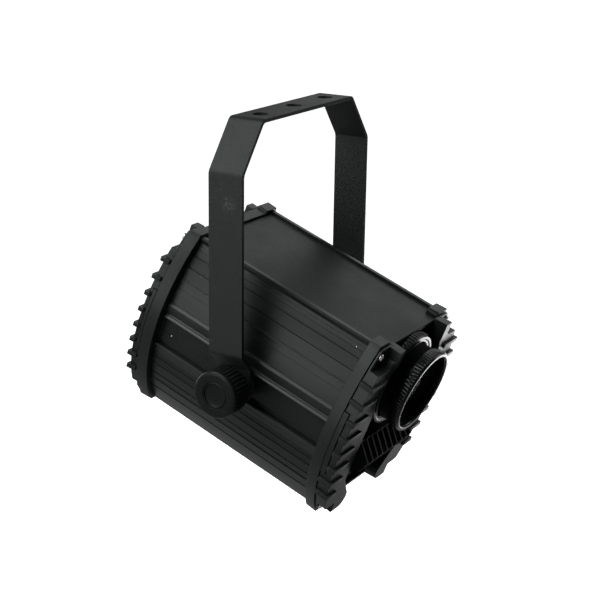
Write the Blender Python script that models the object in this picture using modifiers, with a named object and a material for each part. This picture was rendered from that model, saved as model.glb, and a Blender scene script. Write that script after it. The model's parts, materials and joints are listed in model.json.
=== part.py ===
"""Stage light: an LED spot whose curved body tilts in a flat-bar yoke.

Frame: X across, the lens looks towards -Y, Z up. The light hangs from its yoke, so the origin is the
middle hanging hole, on the yoke's upper face. Everything in the housing is placed from the tilt axis.
"""

import math

import bmesh
import bpy
from mathutils import Matrix

MM = 0.001
GAP = 0.3 * MM
WELD = 0.001 * MM
HOLE_PLAY = 0.3 * MM
OVERLAP = 1 * MM

# Housing section: two curved side shells between a flat top cover and a flat bottom cover
WAIST = 72 * MM
SKIN_UPPER_ARC = 160 * MM
SKIN_LOWER_ARC = 125 * MM
SHELL_WALL = 4 * MM
LIP_TOP = 79.7 * MM
LIP_WIDTH = 3.6 * MM
LIP_DEPTH = 4 * MM
LIP_EASE = 0.7 * MM
LIP_PROUD = 1.1 * MM
LIP_BOTTOM = -80.5 * MM
LOWER_LIP_WIDTH = 2.6 * MM
COVER_THICK = 1.5 * MM
COVER_TOP = LIP_TOP - 3.7 * MM
COVER_BOTTOM = LIP_BOTTOM + 3.2 * MM
LEDGE_REACH = 5 * MM
LEDGE_THICK = 3 * MM
LOWER_PANEL_START = -14.6 * MM
LOWER_PANEL_PROUD = 1 * MM
BODY_FRONT = -79.6 * MM
BODY_REAR = 84.5 * MM
SLOT_COUNT = 4
SLOT_SIZE = (48 * MM, 3 * MM)
SLOT_PITCH = 7 * MM
SLOT_INSET = 9.6 * MM

# Lines along each side shell, from the top: height of the middle, width, rise (a groove is negative)
SHELL_LINES = (
    (72.4 * MM, 1.0 * MM, -0.5 * MM),
    (69.4 * MM, 1.0 * MM, -0.5 * MM),
    (64.3 * MM, 1.4 * MM, -1.2 * MM),
    (54.8 * MM, 1.4 * MM, -1.2 * MM),
    (43.7 * MM, 1.2 * MM, 0.6 * MM),
    (37.0 * MM, 1.0 * MM, -0.4 * MM),
    (21.7 * MM, 1.6 * MM, 1.2 * MM),
    (11.8 * MM, 3.4 * MM, 1.5 * MM),
    (-1.0 * MM, 20.0 * MM, -1.2 * MM),
    (-12.9 * MM, 3.4 * MM, -2.4 * MM),
    (-20.0 * MM, 1.4 * MM, 0.7 * MM),
    (-28.0 * MM, 1.4 * MM, -0.7 * MM),
    (-36.0 * MM, 1.4 * MM, 0.7 * MM),
    (-45.0 * MM, 1.4 * MM, -0.7 * MM),
    (-53.0 * MM, 1.4 * MM, 0.7 * MM),
    (-62.0 * MM, 1.4 * MM, -0.7 * MM),
)

# Yoke: a flat bar with chamfered shoulders whose arms step inwards near the tilt axis
BAR_WIDTH = 30 * MM
BAR_THICK = 3 * MM
STEP_IN = 11 * MM
ARM_CLEARANCE = 11.4 * MM
YOKE_HALF = WAIST + ARM_CLEARANCE + BAR_THICK + STEP_IN
SHOULDER_IN = 27.9 * MM
YOKE_HEIGHT = 207 * MM
SHOULDER_DROP = 38 * MM
STEP_START = 28 * MM
STEP_END = 16 * MM
BEND_RADIUS = 5 * MM
HANG_HOLE_RADIUS = 6.5 * MM
HANG_HOLE_PITCH = 49 * MM
REST_TILT = math.radians(21)

# Tilt clamp: stud, insert, friction disc, washer and knob, all on the tilt axis
STUD_RADIUS = 4 * MM
STUD_BORE = STUD_RADIUS + HOLE_PLAY
STUD_START = WAIST - SHELL_WALL - 1.5 * MM
STUD_BURIED = 14 * MM
INSERT_RADIUS = STUD_BORE + 1.4 * MM
BOSS_RADIUS = INSERT_RADIUS + 8.3 * MM
DISC_RADIUS = 16 * MM
DISC_THICK = 2.5 * MM
WASHER_RADIUS = STUD_RADIUS + 8 * MM
WASHER_THICK = 3 * MM
KNOB_RADIUS = 19 * MM
KNOB_DEPTH = 22.9 * MM
KNOB_CHAMFER = 1.5 * MM
KNOB_BACK_CONE = 2.4 * MM
KNURL_COUNT = 36
KNURL_DEPTH = 0.8 * MM
KNURL_END = 0.6 * MM
KNOB_CAP_RADIUS = 10.4 * MM
KNOB_CAP_SEAT = 2.5 * MM
KNOB_CAP_SUNK = 0.5 * MM
KNOB_CAP_BEVEL = 0.6 * MM

# End frames: a collar that stands proud of the shells, with a ribbed guard each side. Both lean
# outwards, by FLARE for each unit away from the shells
COLLAR_STEP = 8.2 * MM
COLLAR_WAIST = WAIST + COLLAR_STEP
COLLAR_MIDDLE = 3.7 * MM
COLLAR_UPPER_ARC = 138 * MM
COLLAR_LOWER_ARC = 130 * MM
COLLAR_DEPTH = 10 * MM
FLARE = 0.13
COLLAR_TOP = LIP_TOP
COLLAR_BOTTOM = LIP_BOTTOM + 3.5 * MM
CORNER_RISE = 2.1 * MM
CORNER_WIDTH = 15.8 * MM
CORNER_EASE = 1.2 * MM
LOWER_CORNER = LIP_BOTTOM - 1.7 * MM
LOWER_CORNER_WIDTH = 8.7 * MM
LOWER_CORNER_EASE = 2.9 * MM
LOWER_CORNER_SLOPE = 4 * MM
OPENING_TOP = COLLAR_TOP - 5.7 * MM
OPENING_BOTTOM = LIP_BOTTOM + 8.5 * MM
MOUTH_BAND = 9 * MM
MOUTH_TOP = COLLAR_TOP - 2.3 * MM
MOUTH_BOTTOM = COLLAR_BOTTOM + 2.5 * MM
CHEEK_TOP = 30 * MM
CHEEK_BOTTOM = -27 * MM
CHEEK_WALL = 2 * MM
CHEEK_INSET = 0.2 * MM
FRONT_CHEEK_DEPTH = 5 * MM
REAR_CHEEK_DEPTH = 3 * MM
PLATE_SET_BACK = 5 * MM
PLATE_THICK = 2.7 * MM

FRONT_GUARD_DEPTH = 11 * MM
REAR_GUARD_DEPTH = 6.5 * MM
GUARD_INSET = 1.2 * MM
GUARD_WALL = 2.4 * MM
GUARD_TAB = 2 * MM
GUARD_INNER = 41.2 * MM
GUARD_TOP = COLLAR_TOP - 0.2 * MM
GUARD_CORNER = 2.5 * MM
GUARD_BOTTOM = -76.5 * MM
GUARD_SHOULDER = 64.5 * MM
GUARD_HEEL = -66 * MM
GUARD_KNEE = (8.5 * MM, 10 * MM)
GUARD_HIP = -44 * MM
HOLLOW_END = 61 * MM
LOBE_RADIUS = 8.5 * MM
LOBE_CENTRE = (31.5 * MM, -68 * MM)
LUG_INNER = 33.8 * MM
LUG_OUTER = 43.4 * MM
LUG_FOOT = 64 * MM
LUG_PROUD = 1.2 * MM
LUG_SWEEP = 10 * MM
RIB_COUNT = 8
RIB_TOP = 54.6 * MM
RIB_PITCH = 14.8 * MM
RIB_WIDTH = 3 * MM
RIB_PROUD = 1.2 * MM
RIB_ROOT = 1.6 * MM
FINGER_LENGTH = 23 * MM
FINGER_STOP = 55.7 * MM
SCREW_HEIGHTS = (73.6 * MM, -71.8 * MM)
SCREW_INSET = 4.3 * MM
SCREW_RADIUS = 1.5 * MM
SCREW_HEAD_RADIUS = 3 * MM
SCREW_HEAD_HEIGHT = 2 * MM
SCREW_HEAD_BEVEL = 0.6 * MM
SCREW_SLOT = (4 * MM, 0.8 * MM, 1 * MM)
SCREW_LENGTH = 8 * MM

# Optics, on the optical axis, with places given as distances forward of the tilt axis
TUBE_RADIUS = 33.5 * MM
TUBE_BORE = TUBE_RADIUS - 2.9 * MM
FLANGE_RADIUS = TUBE_RADIUS + 7.5 * MM
FLANGE_CHAMFER = 1 * MM
OPTIC_HEIGHT = MOUTH_TOP - 0.4 * MM - FLANGE_RADIUS
LENS_RELIEF_RADIUS = max(FLANGE_RADIUS + 4.2 * MM, GUARD_INNER)
PLATE_FACE = PLATE_SET_BACK - BODY_FRONT
FLANGE_FRONT = PLATE_FACE + 12.9 * MM
THREAD_START = FLANGE_FRONT + 1.9 * MM
THREAD_PITCH = 1.7 * MM
THREAD_COUNT = 4
THREAD_DEPTH = 0.7 * MM
RING_RADIUS = TUBE_RADIUS + 2.5 * MM
RING_REAR = FLANGE_FRONT + 9.5 * MM
RING_FRONT = RING_REAR + 10 * MM
RING_MOUTH = TUBE_BORE + 0.8 * MM
RING_CHAMFER = 1 * MM
TUBE_REAR = 78 * MM
TUBE_FRONT = RING_REAR + 6 * MM
CARRIER_WALL = 2 * MM
CARRIER_FRONT = TUBE_FRONT - 3.5 * MM
CARRIER_LENGTH = 17.5 * MM
LENS_RADIUS = TUBE_BORE - CARRIER_WALL - 0.7 * MM
LENS_SEAT = CARRIER_FRONT - 8 * MM
LENS_EDGE = 3 * MM
LENS_RIM = 3 * MM
LENS_BULGE = 3 * MM
SHOULDER = 2.4 * MM
RETAINER_HEIGHT = 2.2 * MM
RETAINER_CHAMFER = 0.5 * MM
HOLDER_REAR = 52 * MM
HOLDER_SEAT = 8 * MM
CONDENSER_RADIUS = TUBE_RADIUS - 4.2 * MM
CONDENSER_FRONT_BULGE = 6 * MM
CONDENSER_REAR_BULGE = 0.5 * MM
REFLECTOR_WALL = 1.2 * MM
REFLECTOR_MOUTH = CONDENSER_RADIUS - 1.3 * MM
REFLECTOR_RIM = TUBE_RADIUS - 1.5 * MM
REFLECTOR_NECK = 12 * MM
LED_PLANE = 18 * MM
LED_BOARD_HALF = 20 * MM
LED_BOARD_THICK = 2 * MM
EMITTER_RADIUS = 8 * MM
EMITTER_PROUD = 1.4 * MM

# Vent grille below the lens
FIN_COUNT = 10
FIN_PITCH = 8.4 * MM
FIN_THICK = 2.4 * MM
GRILLE_TOP = OPTIC_HEIGHT - FLANGE_RADIUS - 4.5 * MM
GRILLE_HEIGHT = GRILLE_TOP - GUARD_HIP
GRILLE_LEDGE_DEPTH = 14 * MM
GRILLE_NOSE_DEPTH = 26 * MM
GRILLE_NOSE_DROP = GRILLE_HEIGHT * 28 / 69
GRILLE_CHIN_DEPTH = 22 * MM
GRILLE_CHIN_DROP = GRILLE_HEIGHT * 50 / 69
GRILLE_FOOT_DEPTH = 5 * MM
GRILLE_BAR = 2 * MM
VENT_MARGIN = 3 * MM
VENT_HALF_WIDTH = 35 * MM

# Inside
SHELF_TOP = min(OPTIC_HEIGHT - TUBE_RADIUS - 8.5 * MM, -STUD_RADIUS - 2 * MM)
SHELF_THICK = 2 * MM
SHELF_FRONT = BODY_FRONT + 9.6 * MM
SHELF_REAR = 66 * MM
SINK_HALF = 42 * MM
SINK_BASE = 6 * MM
SINK_FIN_DEPTH = 30 * MM
SINK_FIN_COUNT = 11
SINK_FIN_THICK = 2 * MM
SINK_HALF_HEIGHT = 30 * MM
SINK_FOOT_HALF = 20 * MM
FAN_SIZE = 60 * MM
FAN_DEPTH = 15 * MM
FAN_BORE = 28 * MM
FAN_HUB = 12 * MM
FAN_HUB_LOW = 1.5 * MM
FAN_SPIDER = (2 * MM, 3 * MM)
BLADE_COUNT = 7
BLADE_SIZE = (12 * MM, 1.4 * MM)
BLADE_PLAY = 1.5 * MM
BLADE_ANGLE = math.radians(38)
SUPPLY_PLAY = 1 * MM
SUPPLY_FRONT = -45 * MM
SUPPLY_LENGTH = 95 * MM
SUPPLY_HEIGHT = 30 * MM

# Rear panel, in the rear frame's own coordinates
DISPLAY_SIZE = (46 * MM, 16 * MM)
DISPLAY_HOLE = (38 * MM, 12 * MM)
DISPLAY_THICK = 2 * MM
DISPLAY_HEIGHT = 50 * MM
BUTTON_COUNT = 4
BUTTON_PITCH = 16 * MM
BUTTON_HEIGHT = 28 * MM
BUTTON_RADIUS = 4 * MM
BUTTON_PROUD = 3.2 * MM
BUTTON_RIM = 1.2 * MM
BUTTON_STEM = 2 * MM
BUTTON_TRAVEL_GAP = 1.3 * MM
SOCKET_OFFSET = 20 * MM
SOCKET_HEIGHT = -2 * MM
SOCKET_FLANGE = (26 * MM, 34 * MM)
SOCKET_FLANGE_THICK = 2 * MM
SOCKET_RADIUS = 11 * MM
SOCKET_BORE = 9 * MM
SOCKET_DEPTH = 17 * MM
SOCKET_FLOOR = 4 * MM
POLE_CIRCLE = 4 * MM
POLE_ANGLES = (30, 150, 270)
POLE_RADIUS = 1.2 * MM
POLE_HOLE_RADIUS = 1.4 * MM
POLE_SUNK = 5.5 * MM
LATCH_HEIGHT = 12.1 * MM
LATCH_SIZE = (8 * MM, 3.4 * MM)
LATCH_PROUD = 2.5 * MM
LATCH_BACK = 1.5 * MM
INLET_HEIGHT = -44 * MM
INLET_FLANGE = (50 * MM, 24 * MM)
INLET_FLANGE_THICK = 2.4 * MM
INLET_BODY = (27.6 * MM, 20 * MM)
INLET_CAVITY = (24.4 * MM, 16.6 * MM)
INLET_DEPTH = 19 * MM
INLET_FLOOR = 4 * MM
INLET_PIN = (4 * MM, 2 * MM)
INLET_PIN_PLACE = (7 * MM, 3 * MM)
INLET_PIN_SUNK = 6.5 * MM
EYE_HEIGHT = 66 * MM
EYE_RADIUS = 9 * MM
EYE_WIRE = 2 * MM
EYE_BASE = (30 * MM, 9 * MM, 2.5 * MM)
BOARD_SIZE = (100 * MM, 50 * MM)
BOARD_HEIGHT = 40 * MM
BOARD_BEHIND = 4.3 * MM
BOARD_THICK = 1.6 * MM
POST_RADIUS = 2.5 * MM
POST_INSET = (5 * MM, 4 * MM)

# How an outline drawn in a plane is laid: its own x, y and thickness become these axes
LAY = {
    "X": Matrix(((0, 0, 1), (1, 0, 0), (0, 1, 0))).to_4x4(),
    "Y": Matrix(((1, 0, 0), (0, 0, -1), (0, 1, 0))).to_4x4(),
    "Z": Matrix.Identity(4),
}
AXIS = {"X": (1, 0, 0), "Y": (0, 1, 0), "Z": (0, 0, 1)}

for old in list(bpy.data.objects):
    bpy.data.objects.remove(old, do_unlink=True)

PARTS = bpy.data.collections.new("Stage light")
CUTTERS = bpy.data.collections.new("Cutters")
bpy.context.scene.collection.children.link(PARTS)
bpy.context.scene.collection.children.link(CUTTERS)


def finish(name, colour, roughness, metallic=0.0):
    """A plain material with one colour, roughness and metallic value."""
    matter = bpy.data.materials.new(name)
    matter.use_nodes = True
    shader = matter.node_tree.nodes["Principled BSDF"]
    shader.inputs["Base Color"].default_value = (*colour, 1)
    shader.inputs["Roughness"].default_value = roughness
    shader.inputs["Metallic"].default_value = metallic
    return matter


POWDER = finish("black powder coat", (0.022, 0.024, 0.024), 0.55)
SATIN = finish("black anodised shell", (0.02, 0.022, 0.022), 0.45)
MOULDED = finish("black moulding", (0.018, 0.019, 0.019), 0.4)
GLOSS = finish("gloss black", (0.01, 0.01, 0.01), 0.18)
STEEL = finish("bright steel", (0.7, 0.7, 0.7), 0.25, 1.0)
BRASS = finish("brass", (0.72, 0.55, 0.25), 0.35, 1.0)
FIBRE = finish("friction fibre", (0.03, 0.03, 0.03), 0.8)
GLASS = finish("glass", (0.75, 0.8, 0.82), 0.05)
ALUMINIUM = finish("bare aluminium", (0.75, 0.76, 0.77), 0.35, 1.0)
MIRROR = finish("bright reflector", (0.9, 0.9, 0.9), 0.08, 1.0)
BOARD = finish("circuit board", (0.02, 0.12, 0.05), 0.5)
DISPLAY = finish("dark display window", (0.01, 0.012, 0.015), 0.1)


def empty(name, place, parent=None, turn=(0, 0, 0)):
    """A frame that other pieces hang on."""
    frame = bpy.data.objects.new(name, None)
    PARTS.objects.link(frame)
    frame.location = place
    frame.rotation_euler = turn
    frame.parent = parent
    return frame


def piece(name, mesh, parent, matter):
    """A named sub-part made from a mesh."""
    obj = bpy.data.objects.new(name, mesh)
    mesh.name = name
    mesh.materials.append(matter)
    PARTS.objects.link(obj)
    obj.parent = parent
    return obj


def tool(name, meshes, parent):
    """One hidden shape for Boolean work, from one or more meshes that don't touch."""
    shape = bmesh.new()
    for mesh in meshes:
        shape.from_mesh(mesh)
    joined = bpy.data.meshes.new(name)
    shape.to_mesh(joined)
    shape.free()
    obj = bpy.data.objects.new(name, joined)
    CUTTERS.objects.link(obj)
    obj.parent = parent
    obj.hide_render = True
    obj.display_type = "WIRE"
    return obj


def boolean(target, kind, meshes):
    """Cuts, joins or intersects the target with shapes given in the same parent's frame."""
    label = f"{target.name}_{kind.lower()}_{len(target.modifiers)}"
    modifier = target.modifiers.new(label, "BOOLEAN")
    modifier.operation = kind
    modifier.solver = "EXACT"
    modifier.object = tool(label, meshes, target.parent)
    modifier.object.location = target.location


def outline_mesh(loops, depth):
    """A closed plate from an outline and its holes, in its own XY plane, depth thick about that plane."""
    curve = bpy.data.curves.new("outline", "CURVE")
    curve.dimensions = "2D"
    curve.fill_mode = "BOTH"
    curve.extrude = depth / 2
    for loop in loops:
        spline = curve.splines.new("POLY")
        spline.points.add(len(loop) - 1)
        for point, (u, v) in zip(spline.points, loop):
            point.co = (u, v, 0, 1)
        spline.use_cyclic_u = True
    drawn = bpy.data.objects.new("outline", curve)
    CUTTERS.objects.link(drawn)
    graph = bpy.context.evaluated_depsgraph_get()
    mesh = bpy.data.meshes.new_from_object(drawn.evaluated_get(graph))
    bpy.data.objects.remove(drawn)
    shape = bmesh.new()
    shape.from_mesh(mesh)
    bmesh.ops.remove_doubles(shape, verts=shape.verts, dist=WELD)
    bmesh.ops.recalc_face_normals(shape, faces=shape.faces)
    shape.to_mesh(mesh)
    shape.free()
    return mesh


def prism(loops, low, high, axis="Y"):
    """An outline carried along an axis from low to high."""
    mesh = outline_mesh(loops, high - low)
    mesh.transform(LAY[axis])
    mesh.transform(Matrix.Translation([unit * (low + high) / 2 for unit in AXIS[axis]]))
    return mesh


def box(low, high):
    """A block between two corners."""
    shape = bmesh.new()
    bmesh.ops.create_cube(shape, size=1)
    mesh = bpy.data.meshes.new("box")
    shape.to_mesh(mesh)
    shape.free()
    mesh.transform(Matrix.Diagonal([b - a for a, b in zip(low, high)] + [1]))
    mesh.transform(Matrix.Translation([(a + b) / 2 for a, b in zip(low, high)]))
    return mesh


def rod(radius, low, high, axis, centre=(0, 0), segments=24):
    """A cylinder along an axis. centre is its place on the other two axes, in X, Y, Z order."""
    shape = bmesh.new()
    bmesh.ops.create_cone(
        shape, cap_ends=True, segments=segments, radius1=radius, radius2=radius, depth=high - low
    )
    mesh = bpy.data.meshes.new("rod")
    shape.to_mesh(mesh)
    shape.free()
    mesh.transform(LAY[axis])
    place = list(centre)
    place.insert("XYZ".index(axis), (low + high) / 2)
    mesh.transform(Matrix.Translation(place))
    return mesh


def turned(name, profile, parent, matter, segments=32, closed=False):
    """A turned piece: (radius, height) points that run down the outer side, about the parent's Z."""
    mesh = bpy.data.meshes.new(name)
    count = len(profile)
    edges = [(i, i + 1) for i in range(count - 1)]
    if closed:
        edges.append((count - 1, 0))
    mesh.from_pydata([(radius, 0, height) for radius, height in profile], edges, [])
    obj = piece(name, mesh, parent, matter)
    screw = obj.modifiers.new("Turn", "SCREW")
    screw.axis = "Z"
    screw.steps = segments
    screw.render_steps = segments
    screw.use_merge_vertices = True
    screw.merge_threshold = WELD
    screw.use_smooth_shade = True
    return obj


def ring(outer, inner, low, high, chamfer=0.0):
    """The closed profile of a plain ring, chamfered on the outer edge of its top."""
    profile = [(inner, high), (outer - chamfer, high)]
    if chamfer:
        profile.append((outer, high - chamfer))
    return profile + [(outer, low), (inner, low)]


def arc_half_width(z, waist, upper, lower, inset):
    """Half width at height z of a section whose side is an upper and a lower arc, moved in by inset."""
    radius = (upper if z >= 0 else lower) - inset
    return waist - inset - radius + math.sqrt(radius * radius - z * z)

def skin_x(z, inset=0.0):
    return arc_half_width(z, WAIST, SKIN_UPPER_ARC, SKIN_LOWER_ARC, inset)


def collar_x(z, inset=0.0):
    return arc_half_width(z - COLLAR_MIDDLE, COLLAR_WAIST, COLLAR_UPPER_ARC, COLLAR_LOWER_ARC, inset)


def heights(start, end, step=9 * MM):
    """Evenly spaced heights from start to end, both included."""
    count = max(1, round(abs(end - start) / step))
    return [start + (end - start) * i / count for i in range(count + 1)]


def side_arc(half_width, start, end, inset=0.0):
    """Points down or up one side of a section."""
    return [(half_width(z, inset), z) for z in heights(start, end)]


def both_sides(right):
    """A closed outline from its right half."""
    return right + [(-x, z) for x, z in reversed(right)]


def flipped(outline, side):
    """The outline on the right (side 1) or mirrored to the left (side -1)."""
    return [(side * x, z) for x, z in outline]


def circle(radius, centre, segments=40, start=0.0, sweep=2 * math.pi):
    """Points on a circle, or on an arc of it with both ends included."""
    closed = sweep == 2 * math.pi
    count = segments if closed else segments + 1
    return [
        (
            centre[0] + radius * math.cos(start + sweep * i / segments),
            centre[1] + radius * math.sin(start + sweep * i / segments),
        )
        for i in range(count)
    ]


def bent_strip(corners, radius, thickness, steps=3):
    """Outline of a strip of even thickness along a path whose corners are rounded to a radius."""
    path = [corners[0]]
    for before, corner, after in zip(corners, corners[1:], corners[2:]):
        back = (before[0] - corner[0], before[1] - corner[1])
        ahead = (after[0] - corner[0], after[1] - corner[1])
        back_length = math.hypot(*back)
        ahead_length = math.hypot(*ahead)
        turn = math.pi - math.acos(
            (back[0] * ahead[0] + back[1] * ahead[1]) / (back_length * ahead_length)
        )
        reach = radius * math.tan(turn / 2)
        first = [c + b / back_length * reach for c, b in zip(corner, back)]
        last = [c + a / ahead_length * reach for c, a in zip(corner, ahead)]
        for i in range(steps + 1):
            share = i / steps
            path.append(
                tuple(
                    (1 - share) ** 2 * a + 2 * share * (1 - share) * c + share**2 * b
                    for a, c, b in zip(first, corner, last)
                )
            )
    path.append(corners[-1])
    left, right = [], []
    for i, (x, z) in enumerate(path):
        before = path[max(i - 1, 0)]
        after = path[min(i + 1, len(path) - 1)]
        along = (after[0] - before[0], after[1] - before[1])
        length = math.hypot(*along)
        normal = (-along[1] / length * thickness / 2, along[0] / length * thickness / 2)
        left.append((x + normal[0], z + normal[1]))
        right.append((x - normal[0], z - normal[1]))
    return left + right[::-1]

def flared(mesh):
    """The mesh with each side leaning outwards, wider the further it stands from the shells."""
    for vertex in mesh.vertices:
        side = 1 if vertex.co.x > 0 else -1
        vertex.co.x -= side * FLARE * vertex.co.y
    return mesh


def make_yoke():
    """The bent bar, with its hanging holes on top and a stud hole at the end of each arm."""
    half_bar = BAR_THICK / 2
    axis_height = -YOKE_HEIGHT
    arm = YOKE_HALF - half_bar
    lower_arm = arm - STEP_IN
    right = [
        (YOKE_HALF - SHOULDER_IN - half_bar, -half_bar),
        (arm, -SHOULDER_DROP),
        (arm, axis_height + STEP_START),
        (lower_arm, axis_height + STEP_END),
        (lower_arm, axis_height - BAR_WIDTH / 2),
    ]
    corners = [(-x, z) for x, z in reversed(right)] + right
    strip = bent_strip(corners, BEND_RADIUS, BAR_THICK)
    yoke = piece("yoke_bracket", prism([strip], -BAR_WIDTH / 2, BAR_WIDTH / 2), None, POWDER)
    rounded = circle(BAR_WIDTH / 2, (0, axis_height), 16, math.pi, math.pi)
    side_view = rounded + [(BAR_WIDTH / 2, BAR_WIDTH), (-BAR_WIDTH / 2, BAR_WIDTH)]
    reach = YOKE_HALF + OVERLAP
    boolean(yoke, "INTERSECT", [prism([side_view], -reach, reach, "X")])
    holes = [
        rod(HANG_HOLE_RADIUS, -BAR_THICK * 2, BAR_THICK, "Z", (place * HANG_HOLE_PITCH, 0))
        for place in (-1, 0, 1)
    ]
    holes += [
        rod(STUD_BORE, side * lower_arm - BAR_THICK, side * lower_arm + BAR_THICK, "X", (0, axis_height))
        for side in (-1, 1)
    ]
    boolean(yoke, "DIFFERENCE", holes)


def make_knob(frame, label, back, stud_end):
    """Clamping knob: knurled rim, hollow back for the stud, and a round cap let into its face."""
    face = back + KNOB_DEPTH
    seat = KNOB_CAP_RADIUS + GAP
    seat_floor = face - KNOB_CAP_SEAT
    waist = KNOB_RADIUS - KNURL_DEPTH
    knob = turned(
        f"tilt_knob_{label}",
        [
            (0, seat_floor),
            (seat, seat_floor),
            (seat, face),
            (waist - KNOB_CHAMFER, face),
            (waist, face - KNOB_CHAMFER),
            (waist, back + KNOB_BACK_CONE),
            (WASHER_RADIUS, back),
            (STUD_BORE, back),
            (STUD_BORE, stud_end + GAP),
            (0, stud_end + GAP),
        ],
        frame,
        GLOSS,
        KNURL_COUNT,
    )
    knurl = []
    for i in range(KNURL_COUNT):
        for share, radius in ((0, waist - KNURL_DEPTH / 2), (0.3, KNOB_RADIUS), (0.7, KNOB_RADIUS)):
            angle = 2 * math.pi * (i + share) / KNURL_COUNT
            knurl.append((radius * math.cos(angle), radius * math.sin(angle)))
    core = circle(waist * 0.8, (0, 0), 12)
    knurl_low = back + KNOB_BACK_CONE + KNURL_END
    knurl_high = face - KNOB_CHAMFER - KNURL_END
    boolean(knob, "UNION", [prism([knurl, core], knurl_low, knurl_high, "Z")])
    cap_face = face - KNOB_CAP_SUNK
    turned(
        f"knob_cap_{label}",
        [
            (0, cap_face),
            (KNOB_CAP_RADIUS - KNOB_CAP_BEVEL, cap_face),
            (KNOB_CAP_RADIUS, cap_face - KNOB_CAP_BEVEL),
            (KNOB_CAP_RADIUS, seat_floor + GAP),
            (0, seat_floor + GAP),
        ],
        frame,
        GLOSS,
        24,
    )


def make_tilt_clamp(housing, side, label):
    """Insert, friction disc, washer, stud, knob and cap on one side, stacked outwards from the boss."""
    frame = empty(f"clamp_axis_{label}", (0, 0, 0), housing, (0, side * math.pi / 2, 0))
    arm_inner = YOKE_HALF - BAR_THICK - STEP_IN
    arm_outer = YOKE_HALF - STEP_IN
    boss_face = arm_inner - GAP - DISC_THICK - GAP
    washer_top = arm_outer + GAP + WASHER_THICK
    knob_back = washer_top + GAP
    stud_end = knob_back + STUD_BURIED
    rings = (
        ("pivot_insert", INSERT_RADIUS, WAIST - SHELL_WALL + GAP, boss_face - GAP, BRASS),
        ("friction_disc", DISC_RADIUS, boss_face + GAP, arm_inner - GAP, FIBRE),
        ("knob_washer", WASHER_RADIUS, arm_outer + GAP, washer_top, STEEL),
    )
    for name, radius, low, high, matter in rings:
        turned(f"{name}_{label}", ring(radius, STUD_BORE, low, high), frame, matter, 24, closed=True)
    turned(
        f"clamp_stud_{label}",
        [(0, stud_end), (STUD_RADIUS, stud_end), (STUD_RADIUS, STUD_START), (0, STUD_START)],
        frame,
        STEEL,
        24,
    )
    make_knob(frame, label, knob_back, stud_end)
    return boss_face


def upper_lip():
    """Inner and outer edge of the lip beside the top cover."""
    outer = skin_x(LIP_TOP - LIP_DEPTH - LIP_EASE) + LIP_PROUD
    return outer - LIP_WIDTH, outer


def lower_lip():
    """Inner edge of the lip beside the bottom cover."""
    return skin_x(LIP_BOTTOM) + LOWER_PANEL_PROUD - LOWER_LIP_WIDTH


def shell_outline():
    """Section of the right side shell: grooved skin, lips, and ledges that carry the covers."""
    lip_inner, lip_outer = upper_lip()
    lower_inner = lower_lip()
    points = [(lip_inner, LIP_TOP), (lip_outer, LIP_TOP), (lip_outer, LIP_TOP - LIP_DEPTH)]
    z = LIP_TOP - LIP_DEPTH - LIP_EASE
    for middle, width, rise in SHELL_LINES:
        proud = LOWER_PANEL_PROUD if middle < LOWER_PANEL_START else 0
        top = middle + width / 2
        bottom = middle - width / 2
        if z > top:
            points += [(skin_x(h) + proud, h) for h in heights(z, top)]
        points += [(skin_x(h) + proud + rise, h) for h in heights(top, bottom, 10 * MM)]
        z = bottom
    points += [(skin_x(h) + LOWER_PANEL_PROUD, h) for h in heights(z, LIP_BOTTOM)]
    ledge_top = COVER_TOP - COVER_THICK - GAP
    ledge_bottom = COVER_BOTTOM + COVER_THICK + GAP
    points += [
        (lower_inner, LIP_BOTTOM),
        (lower_inner, ledge_bottom),
        (lower_inner - LEDGE_REACH, ledge_bottom),
        (lower_inner - LEDGE_REACH, ledge_bottom + LEDGE_THICK),
    ]
    points += side_arc(skin_x, ledge_bottom + LEDGE_THICK, ledge_top - LEDGE_THICK, SHELL_WALL)
    points += [
        (lip_inner - LEDGE_REACH, ledge_top - LEDGE_THICK),
        (lip_inner - LEDGE_REACH, ledge_top),
        (lip_inner, ledge_top),
    ]
    return points


def make_shells(housing, boss_face):
    """The two side shells, each with a boss for the tilt insert, and the flat covers between them."""
    low = BODY_FRONT + GAP
    high = BODY_REAR - GAP
    for side, label in ((-1, "left"), (1, "right")):
        shell = piece(
            f"side_shell_{label}", prism([flipped(shell_outline(), side)], low, high), housing, SATIN
        )
        inner_wall = WAIST - SHELL_WALL
        reach = sorted((side * (inner_wall + GAP), side * boss_face))
        boolean(shell, "UNION", [rod(BOSS_RADIUS, *reach, "X")])
        through = sorted((side * (inner_wall - OVERLAP), side * (boss_face + OVERLAP)))
        boolean(shell, "DIFFERENCE", [rod(INSERT_RADIUS + HOLE_PLAY, *through, "X")])
    top_half = upper_lip()[0] - GAP
    piece(
        "top_cover",
        box((-top_half, low, COVER_TOP - COVER_THICK), (top_half, high, COVER_TOP)),
        housing,
        POWDER,
    )
    bottom_half = lower_lip() - GAP
    bottom = piece(
        "bottom_cover",
        box((-bottom_half, low, COVER_BOTTOM), (bottom_half, high, COVER_BOTTOM + COVER_THICK)),
        housing,
        POWDER,
    )
    slot_length, slot_width = SLOT_SIZE
    slots = []
    for i in range(SLOT_COUNT):
        start = BODY_FRONT + SLOT_INSET + i * SLOT_PITCH
        slots.append(
            box(
                (-slot_length / 2, start, COVER_BOTTOM - OVERLAP),
                (slot_length / 2, start + slot_width, COVER_BOTTOM + COVER_THICK + OVERLAP),
            )
        )
    boolean(bottom, "DIFFERENCE", slots)


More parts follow.
